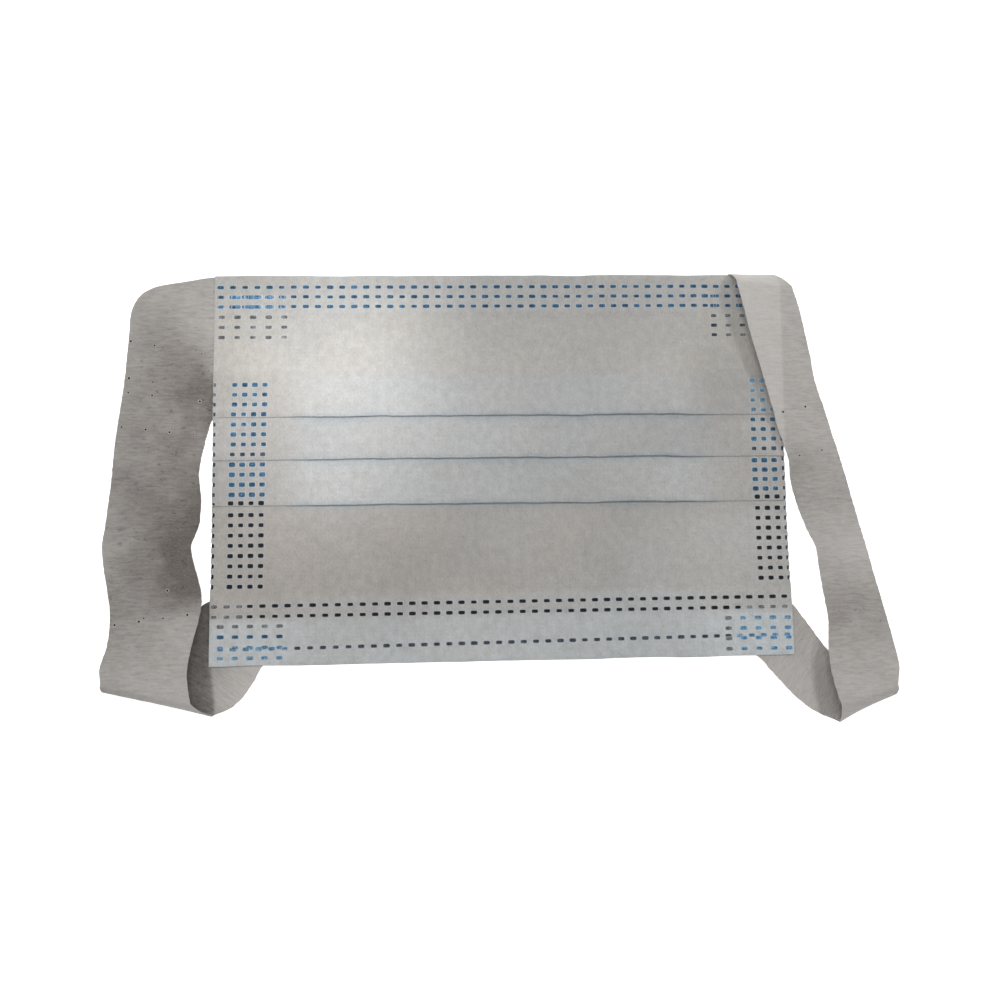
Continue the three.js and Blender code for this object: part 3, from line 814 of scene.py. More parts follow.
def offset_line(line, distance):
    """A line moved sideways by a distance, to its left when the distance is positive."""
    steps = np.diff(line, axis=0)
    steps /= np.linalg.norm(steps, axis=1)[:, None]
    arriving = np.vstack([steps[:1], steps])
    leaving = np.vstack([steps, steps[-1:]])
    along = arriving + leaving
    along /= np.linalg.norm(along, axis=1)[:, None]
    stretch = distance / np.maximum((along * arriving).sum(axis=1), 0.5)
    return line + np.stack([-along[:, 1], along[:, 0]], axis=1) * stretch[:, None]


def panel_columns():
    """Places across the panel, closer together in the welded bands at its sides."""
    half = PANEL_WIDTH / 2
    inner = half - SIDE_BAND
    middle = np.linspace(-inner, inner, round(2 * inner / MIDDLE_COLUMN) + 1)
    band = np.linspace(inner, half, round(SIDE_BAND / SIDE_COLUMN) + 1)[1:]
    return np.concatenate([-band[::-1], middle, band])


def corner_lift(x, y):
    """Share of the strap lift that reaches a place."""
    lift = np.zeros_like(x)
    for corner in CORNERS:
        away_x = np.maximum(corner.reach_x - corner.side_x * x, 0)
        away_y = np.maximum(corner.reach_y - corner.side_y * y, 0)
        lift = np.maximum(lift, 1 - ease(np.hypot(away_x, away_y), 0, CORNER_EASE))
    return lift


def weld_wave(place, weld, pitch):
    """1 at each weld of an even row, falling to 0 half way to the next."""
    return 0.5 + 0.5 * np.cos(2 * math.pi * (place - weld) / pitch)


def weld_dimples(x, y):
    """How far the cloth is drawn down at the side welds and along the hems' rows of welds, as a
    share of its full depth."""
    inner = PANEL_WIDTH / 2 - SIDE_BAND
    rows = weld_wave(y, SIDE_ROW, SIDE_ROW_PITCH)
    columns = weld_wave(np.abs(x), SIDE_COLUMN_WELD, SIDE_COLUMN_PITCH)
    inside = ease(np.abs(x), inner + 1, inner + 2.5)
    inside *= ease(SIDE_WELDS_TOP - y, -0.6, 0.6) * ease(y - SIDE_WELDS_END, -0.6, 0.6)
    depth = inside * rows * columns
    for row in HEM_WELD_ROWS:
        depth = np.maximum(depth, 0.8 * np.exp(-(((y - row) / 0.55) ** 2)))
    return depth


def edge_notches(y):
    """Small notches where the side was cut through a column of welds."""
    rows = weld_wave(y, SIDE_ROW, SIDE_ROW_PITCH)
    return rows ** 2 * ease(NOTCHES_TOP - y, 0, 1) * ease(y - NOTCHES_END, 0, 1)


def panel_net(line, columns, settings):
    """A line in section spread across the panel, pressed at the sides and lifted at the corners."""
    half, half_height = PANEL_WIDTH / 2, PANEL_HEIGHT / 2
    y = np.repeat(line[:, :1], len(columns), axis=1)
    x = np.repeat(columns[None, :], len(line), axis=0)
    z = np.repeat(line[:, 1:], len(columns), axis=1)
    inside = half - np.abs(x) - SIDE_BAND
    loose = ease(inside, 0, SIDE_EASE)
    z = z * (SIDE_PRESS + (1 - SIDE_PRESS) * loose)
    height = z / (STACK_LAYERS * settings.layer / MM)
    swell = 0.5 + 0.5 * drift(x, 38, 0.4) * drift(y + 0.3 * x, 30, 1.1)
    z = z + settings.wave / MM * swell * (0.35 + 0.65 * loose)
    z = z + PUFF * loose * np.clip(height, 0, 1) * (1 + drift(x, 26, 2.605))
    z = z + settings.strap_lift / MM * corner_lift(x, y)
    z = z - DIMPLE_DEPTH * weld_dimples(x, y) * np.clip(z / 0.5, 0, 1)
    sway = loose * (SLOW_SWAY * drift(x, 55, 0.9) + FINE_SWAY * drift(x, 11, 0.35 * y))
    y = y + sway * ease(half - np.abs(y), 14, 30)
    y = y + EDGE_SWAY * drift(x, 24, 3.1) * ease(np.abs(y), 44, 48)
    y = y + EDGE_SKEW * x * ease(-y, 0, half_height)
    reach = ease(np.abs(x), half - NOTCH_REACH, half)
    x = x - np.sign(x) * NOTCH_DEPTH * edge_notches(y) * reach
    return placed(np.stack([x, y, np.maximum(z, 0)], axis=2))


class MASK_OT_lay_panel(bpy.types.Operator):
    """Fold the panel's cloth into its hems and three pleats"""

    bl_idname = "face_mask.lay_panel"
    bl_label = "Pleated panel"

    def execute(self, context):
        settings = context.scene.mask_panel
        cloth = settings.cloth / MM
        line, stack, crease = panel_section(cloth, settings.layer / MM)
        crease = np.maximum(crease, fold_shade_halo(line[:, 0]))
        columns = panel_columns()
        upper = panel_net(offset_line(line, -cloth / 2), columns, settings)
        lower = panel_net(offset_line(line, cloth / 2), columns, settings)
        path = np.concatenate([[0], np.cumsum(np.linalg.norm(np.diff(line, axis=0), axis=1))])
        across, along = np.meshgrid(columns * MM, path * MM)
        x = np.repeat(columns[None, :], len(line), axis=0)
        y = np.repeat(line[:, :1], len(columns), axis=1)
        loose = ease(PANEL_WIDTH / 2 - np.abs(x) - SIDE_BAND, 0, SIDE_EASE)
        patch = (0.5 + 0.5 * ease(np.abs(x), *PATCH_SIDE)) * ease(-y, *PATCH_TOP)
        # Painted light: below the pleats the cloth turns paler and cooler towards the right, through
        # the stacked colour.
        painted_light_right = 0.5 * ease(x, -35, 60) * ease(-y, 8, 16)
        values = {
            "stack": stack[:, None] * (0.35 + 0.65 * loose) + painted_light_right,
            # crease: the fold's colour, partly painted shade beside and below each fold.
            "crease": crease[:, None] * (0.15 + 0.55 * loose),
            "patch": patch,
            "top": ease(y, PLEATS[0].tuck - RISE_RUN / 3, PLEATS[0].tuck + RISE_RUN / 3),
        }
        inner = panel_finish(
            "inner_nonwoven", settings.stacked, settings.single, settings.upper,
            settings.crease, settings.patch,
        )
        outer = panel_finish("outer_nonwoven", *[settings.outer_ply] * 5)
        cloth_map = np.stack([across, along], axis=2)
        panel = closed_sheet("pleated_panel", upper, lower, cloth_map, values, (inner, outer))
        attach(panel, BODY)
        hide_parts("mask_panel")
        return {"FINISHED"}


# ---- straps ----


def strap_finish(name, settings):
    """Thin stretch web: fine crosswise crepe, cloudy thick and thin places, darker where thin. The
    pale value is partly painted shade, and the shade value paints the front ribbon's shadow on the
    back ribbon.
    """
    finish, tree, shader = new_finish(name, 0.88, 0.2, 0.25)
    cloth = add_node(tree, "ShaderNodeUVMap", uv_map="cloth").outputs[0]
    crepe = speckle(tree, cloth, (330, 1500, 1), 5, 0.66)
    strands = speckle(tree, cloth, (1300, 3000, 1), 3, 0.65)
    cloud = speckle(tree, cloth, (520, 760, 1), 6, 0.7)
    patches = speckle(tree, cloth, (85, 120, 1), 4, 0.6)
    # pale holds the cloth's dense and thin places, and in parts painted shade.
    pale = add_node(tree, "ShaderNodeAttribute", attribute_name="pale").outputs["Fac"]
    backed = add_node(tree, "ShaderNodeAttribute", attribute_name="backed").outputs["Fac"]

    loose = combined(tree, "SUBTRACT", 1.15, pale)
    wander = combined(tree, "MULTIPLY", ranged(tree, patches, 0.3, 0.7, -0.2, 0.2), loose)
    tone = ranged(tree, combined(tree, "ADD", pale, wander), 0.0, 1.0, 0.0, 1.0)
    colour = blended(tree, tone, rgba(settings.deep), rgba(settings.pale))
    thin = combined(tree, "SUBTRACT", 1.0, ranged(tree, tone, 0.0, 1.0, 0.0, 0.72))
    lines = ranged(tree, crepe, 0.38, 0.58, 1.0, 0.0)
    streak = combined(tree, "MULTIPLY", lines, combined(tree, "MULTIPLY", thin, 0.42))
    colour = blended(tree, streak, colour, rgba([part * 0.62 for part in settings.deep]))
    holes = ranged(tree, cloud, 0.31, 0.43, 1.0, 0.0)
    bare = combined(tree, "MULTIPLY", thin, thin)
    gaps = combined(tree, "MULTIPLY", holes, combined(tree, "MULTIPLY", bare, 1.1))
    colour = blended(tree, gaps, colour, rgba([part * 0.4 for part in settings.deep]))
    lit = ranged(tree, strands, 0.5, 0.75, 0.0, 0.18)
    colour = blended(tree, lit, colour, rgba(settings.pale))
    # Painted shadow of the raised front ribbon on the back ribbon.
    shade = add_node(tree, "ShaderNodeAttribute", attribute_name="shade").outputs["Fac"]
    painted_back_shadow = combined(tree, "MULTIPLY", shade, ranged(tree, cloud, 0.35, 0.65, 0.75, 0.45))
    colour = blended(tree, painted_back_shadow, colour, rgba([part * 0.5 for part in settings.deep]))
    covered = combined(tree, "MULTIPLY", backed, 0.3)
    colour = blended(tree, covered, colour, rgba([part * 1.25 for part in settings.pale]))
    tree.links.new(colour, shader.inputs["Base Color"])

    relief = combined(tree, "ADD", crepe, combined(tree, "MULTIPLY", strands, 0.4))
    relief = combined(tree, "ADD", relief, combined(tree, "MULTIPLY", cloud, 0.5))
    bump = add_node(
        tree, "ShaderNodeBump", {"Height": relief, "Strength": 0.85, "Distance": 0.32 * MM}
    )
    tree.links.new(bump.outputs[0], shader.inputs["Normal"])
    return finish


def strap_edges(rows):
    """Outer and inner edge points with their paleness, with each roll worked out between its two
    rows, and the number of each row among the points."""
    outer, inner, pale, numbers = [], [], [], []
    for index, row in enumerate(rows):
        numbers.append(len(outer))
        outer.append(Vector((row.ox, row.oy, row.oz)))
        inner.append(Vector((row.ix, row.iy, row.iz)))
        pale.append((row.o_pale, row.i_pale))
        if not row.o_roll:
            continue
        following = rows[index + 1]
        before = rows[index - 1]
        across = Vector((
            row.ox + following.ox - row.ix - following.ix,
            row.oy + following.oy - row.iy - following.iy,
        ))
        travel = Vector((
            row.ox + row.ix - before.ox - before.ix,
            row.oy + row.iy - before.oy - before.iy,
        ))
        outward = Vector((-across.y, across.x, 0)).normalized()
        if outward.xy.dot(travel) < 0:
            outward.negate()
        outer_start, outer_end = outer[-1], Vector((following.ox, following.oy, following.oz))
        inner_start, inner_end = inner[-1], Vector((following.ix, following.iy, following.iz))
        for i in range(1, ROLL_STEPS):
            angle = math.pi * i / ROLL_STEPS
            share = (1 - math.cos(angle)) / 2
            bulge = outward * math.sin(angle)
            outer.append(outer_start.lerp(outer_end, share) + bulge * row.o_roll)
            inner.append(inner_start.lerp(inner_end, share) + bulge * row.i_roll)
            pale.append((
                row.o_pale + (following.o_pale - row.o_pale) * share,
                row.i_pale + (following.i_pale - row.i_pale) * share,
            ))
    return np.array(outer), np.array(inner), np.array(pale), numbers


def curve_span(points, span, shares):
    """Points at shares of one span of a centripetal Catmull-Rom curve through points."""
    here, there = points[span], points[span + 1]
    before = points[span - 1] if span else 2 * here - there
    after = points[span + 2] if span + 2 < len(points) else 2 * there - here
    gaps = [
        max(np.linalg.norm(far - near) ** 0.5, 1e-4)
        for near, far in ((before, here), (here, there), (there, after))
    ]
    leave = (here - before) / gaps[0] - (there - before) / (gaps[0] + gaps[1])
    leave = (leave + (there - here) / gaps[1]) * gaps[1]
    arrive = (there - here) / gaps[1] - (after - here) / (gaps[1] + gaps[2])
    arrive = (arrive + (after - there) / gaps[2]) * gaps[1]
    s = shares[:, None]
    rise = 2 * here - 2 * there + leave + arrive
    bend = -3 * here + 3 * there - 2 * leave - arrive
    return here + leave * s + bend * s ** 2 + rise * s ** 3


def strap_middle(rows, columns):
    """A fine net of points on the middle of a strap's cloth, its paleness, and the fine rows
    between which each of its rolls runs."""
    outer, inner, pale, numbers = strap_edges(rows)
    outer_fine, inner_fine, pale_fine, starts = [], [], [], []
    for span in range(len(outer) - 1):
        starts.append(sum(len(part) for part in outer_fine))
        longest = max(
            np.linalg.norm(outer[span + 1] - outer[span]),
            np.linalg.norm(inner[span + 1] - inner[span]),
        )
        steps = max(2, math.ceil(longest / STRAP_STEP))
        shares = np.arange(steps) / steps
        outer_fine.append(curve_span(outer, span, shares))
        inner_fine.append(curve_span(inner, span, shares))
        pale_fine.append(pale[span] + (pale[span + 1] - pale[span]) * shares[:, None])
    outer_fine = np.vstack(outer_fine + [outer[-1:]])
    inner_fine = np.vstack(inner_fine + [inner[-1:]])
    pale_fine = np.vstack(pale_fine + [pale[-1:]])
    share = np.linspace(0, 1, columns)
    net = outer_fine[:, None] * (1 - share)[None, :, None]
    net = net + inner_fine[:, None] * share[None, :, None]
    tone = pale_fine[:, :1] * (1 - share) + pale_fine[:, 1:] * share
    rolls = [
        (starts[numbers[i]], starts[numbers[i + 1]]) for i, row in enumerate(rows) if row.o_roll
    ]
    return net, tone, rolls


def cloth_places(net, rolls):
    """Where each point was on the flat web, in millimetres: the strap was cut from it as it lies
    in front, so its grain stays level there, and runs on by length round the lower roll and back."""
    last = rolls[-1][0]
    places = net[..., :2].copy()
    steps = np.linalg.norm(np.diff(net, axis=0), axis=2)
    beyond = np.cumsum(steps[last:], axis=0)
    places[last + 1:, :, 0] = net[last, :, 0]
    places[last + 1:, :, 1] = net[last, :, 1] - beyond
    return places


def net_normals(net):
    """Unit normals of a net of points, facing up where it lies flat from its first row on."""
    normals = np.cross(np.gradient(net, axis=0), np.gradient(net, axis=1))
    return normals / np.maximum(np.linalg.norm(normals, axis=2, keepdims=True), 1e-9)


def cloth_noise(places, stretch, seed):
    """Noise between -1 and 1 at each place of an array of (across, along) in millimetres."""
    scaled = places.reshape(-1, 2) * np.array(stretch)
    found = [noise.noise(Vector((a, b, seed))) for a, b in scaled]
    return np.array(found).reshape(places.shape[:-1])


def over_panel(net):
    """1 where a raised point is over the panel, else 0, with a short step at the panel's edge."""
    half_width, half_height = PANEL_WIDTH / 2, PANEL_HEIGHT / 2
    inside_x = ease(half_width - np.abs(net[..., 0]), -0.25, 0.25)
    inside_y = ease(half_height - np.abs(net[..., 1]), -0.25, 0.25)
    return inside_x * inside_y * ease(net[..., 2], 1.0, 1.6)


def tucked_behind(net, roll):
    """1 on the back ribbon where the raised front ribbon keeps the light from it, else 0."""
    roll_start, roll_end = roll
    edge = net[:roll_start, -1]
    order = np.argsort(edge[:, 1])
    place_y = net[..., 1]
    edge_x = np.interp(place_y, edge[order, 1], edge[order, 0])
    edge_z = np.interp(place_y, edge[order, 1], edge[order, 2])
    away = np.abs(net[..., 0]) - np.abs(edge_x)
    shade = ease(away + SHADE_REACH * edge_z, -0.35, 0.35) * ease(edge_z, 0.8, 1.6)
    shade[:roll_end] = 0
    return shade


def lay_strap(name, node, rows, seed, shaded, settings):
    """One strap as a thin closed sheet that lies on the floor, with its crepe and ripples. shaded
    is how dark the painted shadow of the front ribbon on its back ribbon is."""
    middle = rows[len(rows) // 2]
    width = math.hypot(middle.ox - middle.ix, middle.oy - middle.iy)
    columns = round(width / STRAP_COLUMN) + 1
    net, tone, rolls = strap_middle(rows, columns)
    places = cloth_places(net, rolls)
    cloth = settings.cloth / MM
    normals = net_normals(net)
    free = 1 - ease(corner_lift(net[..., 0], net[..., 1]), 0.2, 0.9)
    free = np.maximum(free, ease(net[..., 2], 1.5, 2.5))
    slant = places[..., 1] + 0.35 * places[..., 0]
    ripples = 0.5 + 0.5 * drift(slant, RIPPLE_LENGTH, seed)
    net[..., 2] += settings.ripple / MM * ripples * free
    wrinkles = cloth_noise(places, FINE_WRINKLES, seed)
    wrinkles = wrinkles + 0.7 * cloth_noise(places, BROAD_WRINKLES, seed + 5)
    net = net + normals * (settings.crepe / MM * wrinkles * free)[..., None]
    frayed = cloth_noise(places, EDGE_WANDER, seed + 9)
    side = np.linspace(-1, 1, columns)[None, :]
    outward = net[:, :1] - net[:, -1:]
    outward = outward / np.linalg.norm(outward, axis=2, keepdims=True)
    net = net - outward * (FRAY * frayed * side ** 9)[..., None]
    normals = net_normals(net)
    faces = [net + normals * cloth / 2, net - normals * cloth / 2]
    for face in faces:
        face[..., 2] = np.maximum(face[..., 2], 0)
    finish = strap_finish(name + "_nonwoven", settings)
    shade = tucked_behind(net, rolls[-1]) * shaded
    values = {"pale": tone, "backed": over_panel(net), "shade": shade}
    upper, lower = placed(faces[0]), placed(faces[1])
    strap = closed_sheet(name, upper, lower, places * MM, values, (finish,))
    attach(strap, BODY)
    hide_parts(node)


class MASK_OT_lay_straps(bpy.types.Operator):
    """Lay the two flat ear straps beside the panel"""

    bl_idname = "face_mask.lay_straps"
    bl_label = "Ear straps"

    def execute(self, context):
        settings = context.scene.ear_strap
        lay_strap("left_strap", "ear_strap_left", LEFT_STRAP, 3.0, 1.0, settings)
        lay_strap("right_strap", "ear_strap_right", RIGHT_STRAP, 11.0, 0.35, settings)
        return {"FINISHED"}


# ---- welds and pinholes ----


def stamp_mesh(name, rings, squareness):
    """A shallow closed button of unit half size, whose points hold how much of the tint shows."""
    points, core = [], []
    for ring in rings:
        for sector in range(STAMP_SECTORS):
            angle = 2 * math.pi * (sector + 0.5) / STAMP_SECTORS
            flat = abs(math.cos(angle)) ** squareness + abs(math.sin(angle)) ** squareness
            reach = ring.reach / flat ** (1 / squareness)
            points.append((reach * math.cos(angle), reach * math.sin(angle), ring.height))
            core.append(ring.core)
    points.append((0, 0, rings[-1].height))
    core.append(rings[-1].core)
    faces = [tuple(reversed(range(STAMP_SECTORS)))]
    for ring in range(len(rings) - 1):
        for sector in range(STAMP_SECTORS):
            following = (sector + 1) % STAMP_SECTORS
            near, far = ring * STAMP_SECTORS, (ring + 1) * STAMP_SECTORS
            faces.append((near + sector, near + following, far + following, far + sector))
    last = (len(rings) - 1) * STAMP_SECTORS
    for sector in range(STAMP_SECTORS):
        following = (sector + 1) % STAMP_SECTORS
        faces.append((last + sector, last + following, len(points) - 1))
    mesh = bpy.data.meshes.new(name)
    mesh.from_pydata(points, [], faces)
    mesh.polygons.foreach_set("use_smooth", np.ones(len(faces), bool))
    layer = mesh.attributes.new("core", "FLOAT", "POINT")
    layer.data.foreach_set("value", core)
    mesh.update()
    stamp = bpy.data.objects.new(name, mesh)
    bpy.context.scene.collection.objects.link(stamp)
    return stamp


def stamping_tree():
    """Geometry Nodes that set a stamp of its own size at each mark, join them, and drop every
    point of them onto a surface, so that they follow it. A point beside the surface goes to its
    nearest edge. All of them get one finish."""
    tree = bpy.data.node_groups.new("stamp_marks", "GeometryNodeTree")
    sockets = {}
    for label, kind in (
        ("Marks", "NodeSocketGeometry"), ("Surface", "NodeSocketObject"),
        ("Stamp", "NodeSocketObject"), ("Drop From", "NodeSocketFloat"),
        ("Height Scale", "NodeSocketFloat"), ("Spread", "NodeSocketFloat"),
        ("Seed", "NodeSocketInt"), ("Finish", "NodeSocketMaterial"),
    ):
        sockets[label] = tree.interface.new_socket(label, in_out="INPUT", socket_type=kind)
    tree.interface.new_socket("Stamped", in_out="OUTPUT", socket_type="NodeSocketGeometry")
    given = add_node(tree, "NodeGroupInput").outputs
    surface = add_node(tree, "GeometryNodeObjectInfo", {"Object": given["Surface"]})
    stamp = add_node(tree, "GeometryNodeObjectInfo", {"Object": given["Stamp"]})

    size = add_node(
        tree, "GeometryNodeInputNamedAttribute", {"Name": "size"}, data_type="FLOAT_VECTOR"
    )
    lowest = add_node(tree, "ShaderNodeMath", {0: 1.0, 1: given["Spread"]}, operation="SUBTRACT")
    highest = add_node(tree, "ShaderNodeMath", {0: 1.0, 1: given["Spread"]}, operation="ADD")
    growth = add_node(tree, "FunctionNodeRandomValue", {
        2: lowest.outputs[0], 3: highest.outputs[0], "Seed": given["Seed"],
    }, data_type="FLOAT")
    grown = add_node(
        tree, "ShaderNodeVectorMath", {0: size.outputs[0], "Scale": growth.outputs[1]},
        operation="SCALE",
    )
    apart = add_node(tree, "ShaderNodeSeparateXYZ", {0: grown.outputs[0]})
    scale = add_node(tree, "ShaderNodeCombineXYZ", {
        "X": apart.outputs["X"], "Y": apart.outputs["Y"], "Z": given["Height Scale"],
    })
    stamped = add_node(tree, "GeometryNodeInstanceOnPoints", {
        "Points": given["Marks"], "Instance": stamp.outputs["Geometry"],
        "Scale": scale.outputs[0],
    })
    joined = add_node(tree, "GeometryNodeRealizeInstances", {"Geometry": stamped.outputs[0]})

    place = add_node(tree, "GeometryNodeInputPosition")
    parts = add_node(tree, "ShaderNodeSeparateXYZ", {0: place.outputs[0]})
    start = add_node(tree, "ShaderNodeCombineXYZ", {
        "X": parts.outputs["X"], "Y": parts.outputs["Y"], "Z": given["Drop From"],
    })
    ray = add_node(tree, "GeometryNodeRaycast", {
        "Target Geometry": surface.outputs["Geometry"], "Source Position": start.outputs[0],
        "Ray Direction": (0, 0, -1), "Ray Length": 1.0,
    })
    beside = add_node(
        tree, "GeometryNodeProximity", {0: surface.outputs["Geometry"]}, target_element="FACES"
    )
    landing = add_node(tree, "GeometryNodeSwitch", {
        "Switch": ray.outputs["Is Hit"], "False": beside.outputs["Position"],
        "True": ray.outputs["Hit Position"],
    }, input_type="VECTOR")
    height = add_node(tree, "ShaderNodeCombineXYZ", {"Z": parts.outputs["Z"]})
    dropped = add_node(tree, "GeometryNodeSetPosition", {
        "Geometry": joined.outputs[0], "Position": landing.outputs[0],
        "Offset": height.outputs[0],
    })
    finished = add_node(tree, "GeometryNodeSetMaterial", {
        "Geometry": dropped.outputs[0], "Material": given["Finish"],
    })
    output = add_node(tree, "NodeGroupOutput")
    tree.links.new(finished.outputs[0], output.inputs["Stamped"])
    return tree, sockets


def stamp_marks(name, marks, surface, stamp, spread, seed, finish):
    """Marks of (x, y, half width, half depth, colour) pressed onto a surface as one plain mesh."""
    points = placed([(mark[0], mark[1], 0) for mark in marks])
    mesh = bpy.data.meshes.new(name)
    mesh.from_pydata(points.tolist(), [], [])
    size = mesh.attributes.new("size", "FLOAT_VECTOR", "POINT")
    size.data.foreach_set("vector", [v for m in marks for v in (m[2] * MM, m[3] * MM, MM)])
    tint = mesh.attributes.new("tint", "FLOAT_COLOR", "POINT")
    tint.data.foreach_set("color", [v for m in marks for v in rgba(m[4])])
    piece = bpy.data.objects.new(name, mesh)
    bpy.context.scene.collection.objects.link(piece)
    tree, sockets = stamping_tree()
    modifier = piece.modifiers.new("stamping", "NODES")
    modifier.node_group = tree
    chosen = {
        "Surface": surface, "Stamp": stamp, "Drop From": DROP_HEIGHT * MM, "Height Scale": MM,
        "Spread": spread, "Seed": seed, "Finish": finish,
    }
    for label, value in chosen.items():
        modifier[sockets[label].identifier] = value
    graph = bpy.context.evaluated_depsgraph_get()
    stamped = bpy.data.meshes.new_from_object(
        piece.evaluated_get(graph), preserve_all_data_layers=True, depsgraph=graph
    )
    if not stamped.polygons:
        raise RuntimeError(name + ": nothing was stamped")
    piece.modifiers.clear()
    piece.data = stamped
    bpy.data.meshes.remove(mesh)
    return piece


def weld_finish(rim):
    """Pressed film: darkest in the middle of a dot, with a pale halo where the web begins."""
    finish, tree, shader = new_finish("weld_film", 0.6, 0.0, 0.2)
    place = add_node(tree, "ShaderNodeTexCoord").outputs["Object"]
    core = add_node(tree, "ShaderNodeAttribute", attribute_name="core").outputs["Fac"]
    tint = add_node(tree, "ShaderNodeAttribute", attribute_name="tint").outputs["Color"]
    specks = speckle(tree, place, (2600, 2600, 2600), 3, 0.6)
    blotch = speckle(tree, place, (700, 900, 700), 2, 0.5)
    film = blended(tree, 1.0, tint, ranged(tree, specks, 0.3, 0.7, 0.5, 1.8), "MULTIPLY")
    film = blended(tree, 1.0, film, ranged(tree, blotch, 0.35, 0.7, 0.7, 1.9), "MULTIPLY")
    halo = blended(tree, 0.06, rgba(rim), tint)
    colour = blended(tree, core, halo, film)
    tree.links.new(colour, shader.inputs["Base Color"])
    bump = add_node(
        tree, "ShaderNodeBump", {"Height": specks, "Strength": 0.4, "Distance": 0.05 * MM}
    )
    tree.links.new(bump.outputs[0], shader.inputs["Normal"])
    return finish


class MASK_OT_weld_dots(bpy.types.Operator):
    """Press the rows and blocks of weld dots into the panel"""

    bl_idname = "face_mask.weld_dots"
    bl_label = "Weld dots"

    def execute(self, context):
        settings = context.scene.mask_weld
        marks = []
        for block in WELD_BLOCKS:
            tint = tuple(getattr(settings, block.tint))
            for row in range(block.down):
                for column in range(block.across):
                    marks.append((
                        block.x + column * (block.step_x + block.gain * (column - 1) / 2),
                        block.y - row * block.step_y + column * block.climb,
                        block.width / 2, block.depth / 2, tint,
                    ))
        stamp = stamp_mesh("weld_stamp", STAMP_RINGS, STAMP_SQUARENESS)
        finish = weld_finish(settings.rim)
        surface = bpy.data.objects["pleated_panel"]
        dots = stamp_marks(
            "weld_dots", marks, surface, stamp, settings.spread, settings.seed, finish
        )
        bpy.data.objects.remove(stamp)
        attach(dots, BODY)
        return {"FINISHED"}


def pinhole_finish(straps):
    """A dark hole with a pale drawn-up rim."""
    finish, tree, shader = new_finish("pinhole_rim", 0.9, 0.1, 0.2)
    place = add_node(tree, "ShaderNodeTexCoord").outputs["Object"]
    core = add_node(tree, "ShaderNodeAttribute", attribute_name="core").outputs["Fac"]
    tint = add_node(tree, "ShaderNodeAttribute", attribute_name="tint").outputs["Color"]
    grain = ranged(tree, speckle(tree, place, (2200, 2200, 2200), 3, 0.6), 0.3, 0.7, 0.8, 1.2)
    rim = blended(tree, 1.0, rgba([part * 0.85 for part in straps.pale]), grain, "MULTIPLY")
    colour = blended(tree, core, rim, tint)
    tree.links.new(colour, shader.inputs["Base Color"])
    bump = add_node(
        tree, "ShaderNodeBump", {"Height": grain, "Strength": 0.3, "Distance": 0.05 * MM}
    )
    tree.links.new(bump.outputs[0], shader.inputs["Normal"])
    return finish


class MASK_OT_pinholes(bpy.types.Operator):
    """Prick the rows of pinholes into the straps"""

    bl_idname = "face_mask.pinholes"
    bl_label = "Strap pinholes"

    def execute(self, context):
        settings = context.scene.mask_weld
        finish = pinhole_finish(context.scene.ear_strap)
        stamp = stamp_mesh("pinhole_stamp", PINHOLE_RINGS, PINHOLE_SQUARENESS)
        reach = settings.pinhole / MM / 2
        spread = settings.spread * PINHOLE_SPREAD
        for name, strap, rows in (
            ("left_pinholes", "left_strap", LEFT_PINHOLES),
            ("right_pinholes", "right_strap", RIGHT_PINHOLES),
        ):
            marks = [
                (row.x + i * PINHOLE_PITCH, row.y + i * row.climb, reach, reach, settings.hole)
                for row in rows for i in range(row.count)
            ]
            surface = bpy.data.objects[strap]
            holes = stamp_marks(name, marks, surface, stamp, spread, settings.seed, finish)
            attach(holes, BODY)
        bpy.data.objects.remove(stamp)
        return {"FINISHED"}


# ---- stage ----


def floor_finish(settings):
    """Plain pale floor with a little light of its own, so that it stays even."""
    finish, tree, shader = new_finish("pale_floor", 0.95, 0.0, 0.1)
    shader.inputs["Base Color"].default_value = rgba(settings.floor)
    shader.inputs["Emission Color"].default_value = (1, 1, 1, 1)
    shader.inputs["Emission Strength"].default_value = settings.glow
    return finish


def add_lamp(lamp, power):
    """A lamp of the table, aimed at its target."""
    light = bpy.data.lights.new(lamp.name, lamp.kind)
    light.energy = power * lamp.share
    if lamp.kind == "AREA":
        light.shape = "DISK"
        light.size = lamp.size * MM
    else:
        light.shadow_soft_size = lamp.size * MM
    fixture = bpy.data.objects.new(lamp.name, light)
    start = Vector(placed([lamp.place])[0])
    end = Vector(placed([lamp.target])[0])
    fixture.location = start
    fixture.rotation_euler = (end - start).to_track_quat("-Z", "Y").to_euler()
    bpy.context.scene.collection.objects.link(fixture)
    return light


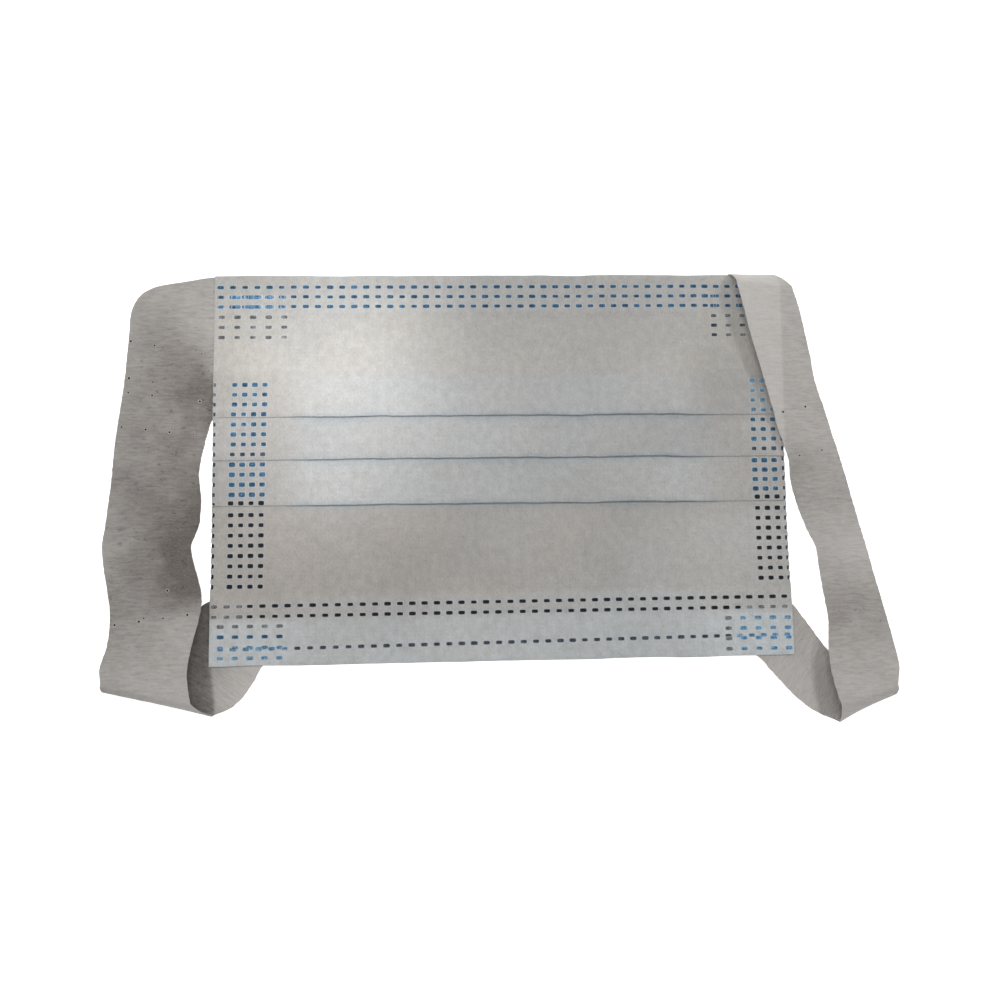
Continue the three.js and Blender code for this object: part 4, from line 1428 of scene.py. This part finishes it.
class MASK_OT_set_stage(bpy.types.Operator):
    """Set out the floor, the lights and the camera"""

    bl_idname = "face_mask.set_stage"
    bl_label = "Stage"

    def execute(self, context):
        scene = context.scene
        settings = scene.mask_stage
        mesh = bpy.data.meshes.new("floor")
        sides = ((-1, -1), (1, -1), (1, 1), (-1, 1))
        corners = [(x * FLOOR_REACH * MM, y * FLOOR_REACH * MM, 0) for x, y in sides]
        mesh.from_pydata(corners, [], [(0, 1, 2, 3)])
        mesh.materials.append(floor_finish(settings))
        floor = bpy.data.objects.new("floor", mesh)
        floor.location.z = -FLOOR_DROP * MM
        scene.collection.objects.link(floor)

        for lamp in KEY_LAMPS:
            add_lamp(lamp, settings.key)
        pool = add_lamp(POOL_LAMP, settings.pool)
        pool.spot_size = POOL_CONE
        pool.spot_blend = 1.0

        world = bpy.data.worlds.new("studio")
        world.use_nodes = True
        background = world.node_tree.nodes["Background"]
        background.inputs["Color"].default_value = (1, 1, 1, 1)
        background.inputs["Strength"].default_value = settings.sky
        scene.world = world
        scene.view_settings.view_transform = "Standard"

        lens = bpy.data.cameras.new("camera")
        lens.lens = settings.lens
        lens.clip_start = 0.01
        camera = bpy.data.objects.new("camera", lens)
        place = PANEL_MIDDLE + Vector(settings.camera)
        target = PANEL_MIDDLE + Vector(settings.target)
        camera.location = place
        back = (place - target).normalized()
        right = Vector((0, 1, 0)).cross(back).normalized()
        sight = Matrix((right, back.cross(right), back)).transposed()
        camera.rotation_euler = (sight @ Matrix.Rotation(settings.roll, 3, "Z")).to_euler()
        scene.collection.objects.link(camera)
        scene.camera = camera
        return {"FINISHED"}


# ---- sidebar, registration and the run ----


OPERATORS = (
    MASK_OT_lay_panel,
    MASK_OT_lay_straps,
    MASK_OT_weld_dots,
    MASK_OT_pinholes,
    MASK_OT_set_stage,
)
SETTINGS = {
    "mask_panel": MaskPanelSettings,
    "ear_strap": EarStrapSettings,
    "mask_weld": WeldSettings,
    "mask_stage": StageSettings,
}


class MASK_PT_sidebar(bpy.types.Panel):
    """The mask's pieces and their settings"""

    bl_idname = "MASK_PT_sidebar"
    bl_label = "Face mask"
    bl_space_type = "VIEW_3D"
    bl_region_type = "UI"
    bl_category = "Face mask"

    def draw(self, context):
        for label, group in SETTINGS.items():
            box = self.layout.box()
            for prop in group.__annotations__:
                box.prop(getattr(context.scene, label), prop)
        for operator in OPERATORS:
            self.layout.operator(operator.bl_idname)


CLASSES = (*SETTINGS.values(), *OPERATORS, MASK_PT_sidebar)


def register():
    """Make the settings, the operators and the panel known."""
    for item in CLASSES:
        bpy.utils.register_class(item)
    for label, group in SETTINGS.items():
        setattr(bpy.types.Scene, label, PointerProperty(type=group))


def unregister():
    """Take them away again, last one first."""
    for label in SETTINGS:
        delattr(bpy.types.Scene, label)
    for item in reversed(CLASSES):
        bpy.utils.unregister_class(item)


def main():
    """Build every piece and the stage."""
    register()
    bpy.ops.face_mask.lay_panel()
    bpy.ops.face_mask.lay_straps()
    bpy.ops.face_mask.weld_dots()
    bpy.ops.face_mask.pinholes()
    bpy.ops.face_mask.set_stage()


if __name__ == "__main__":
    main()
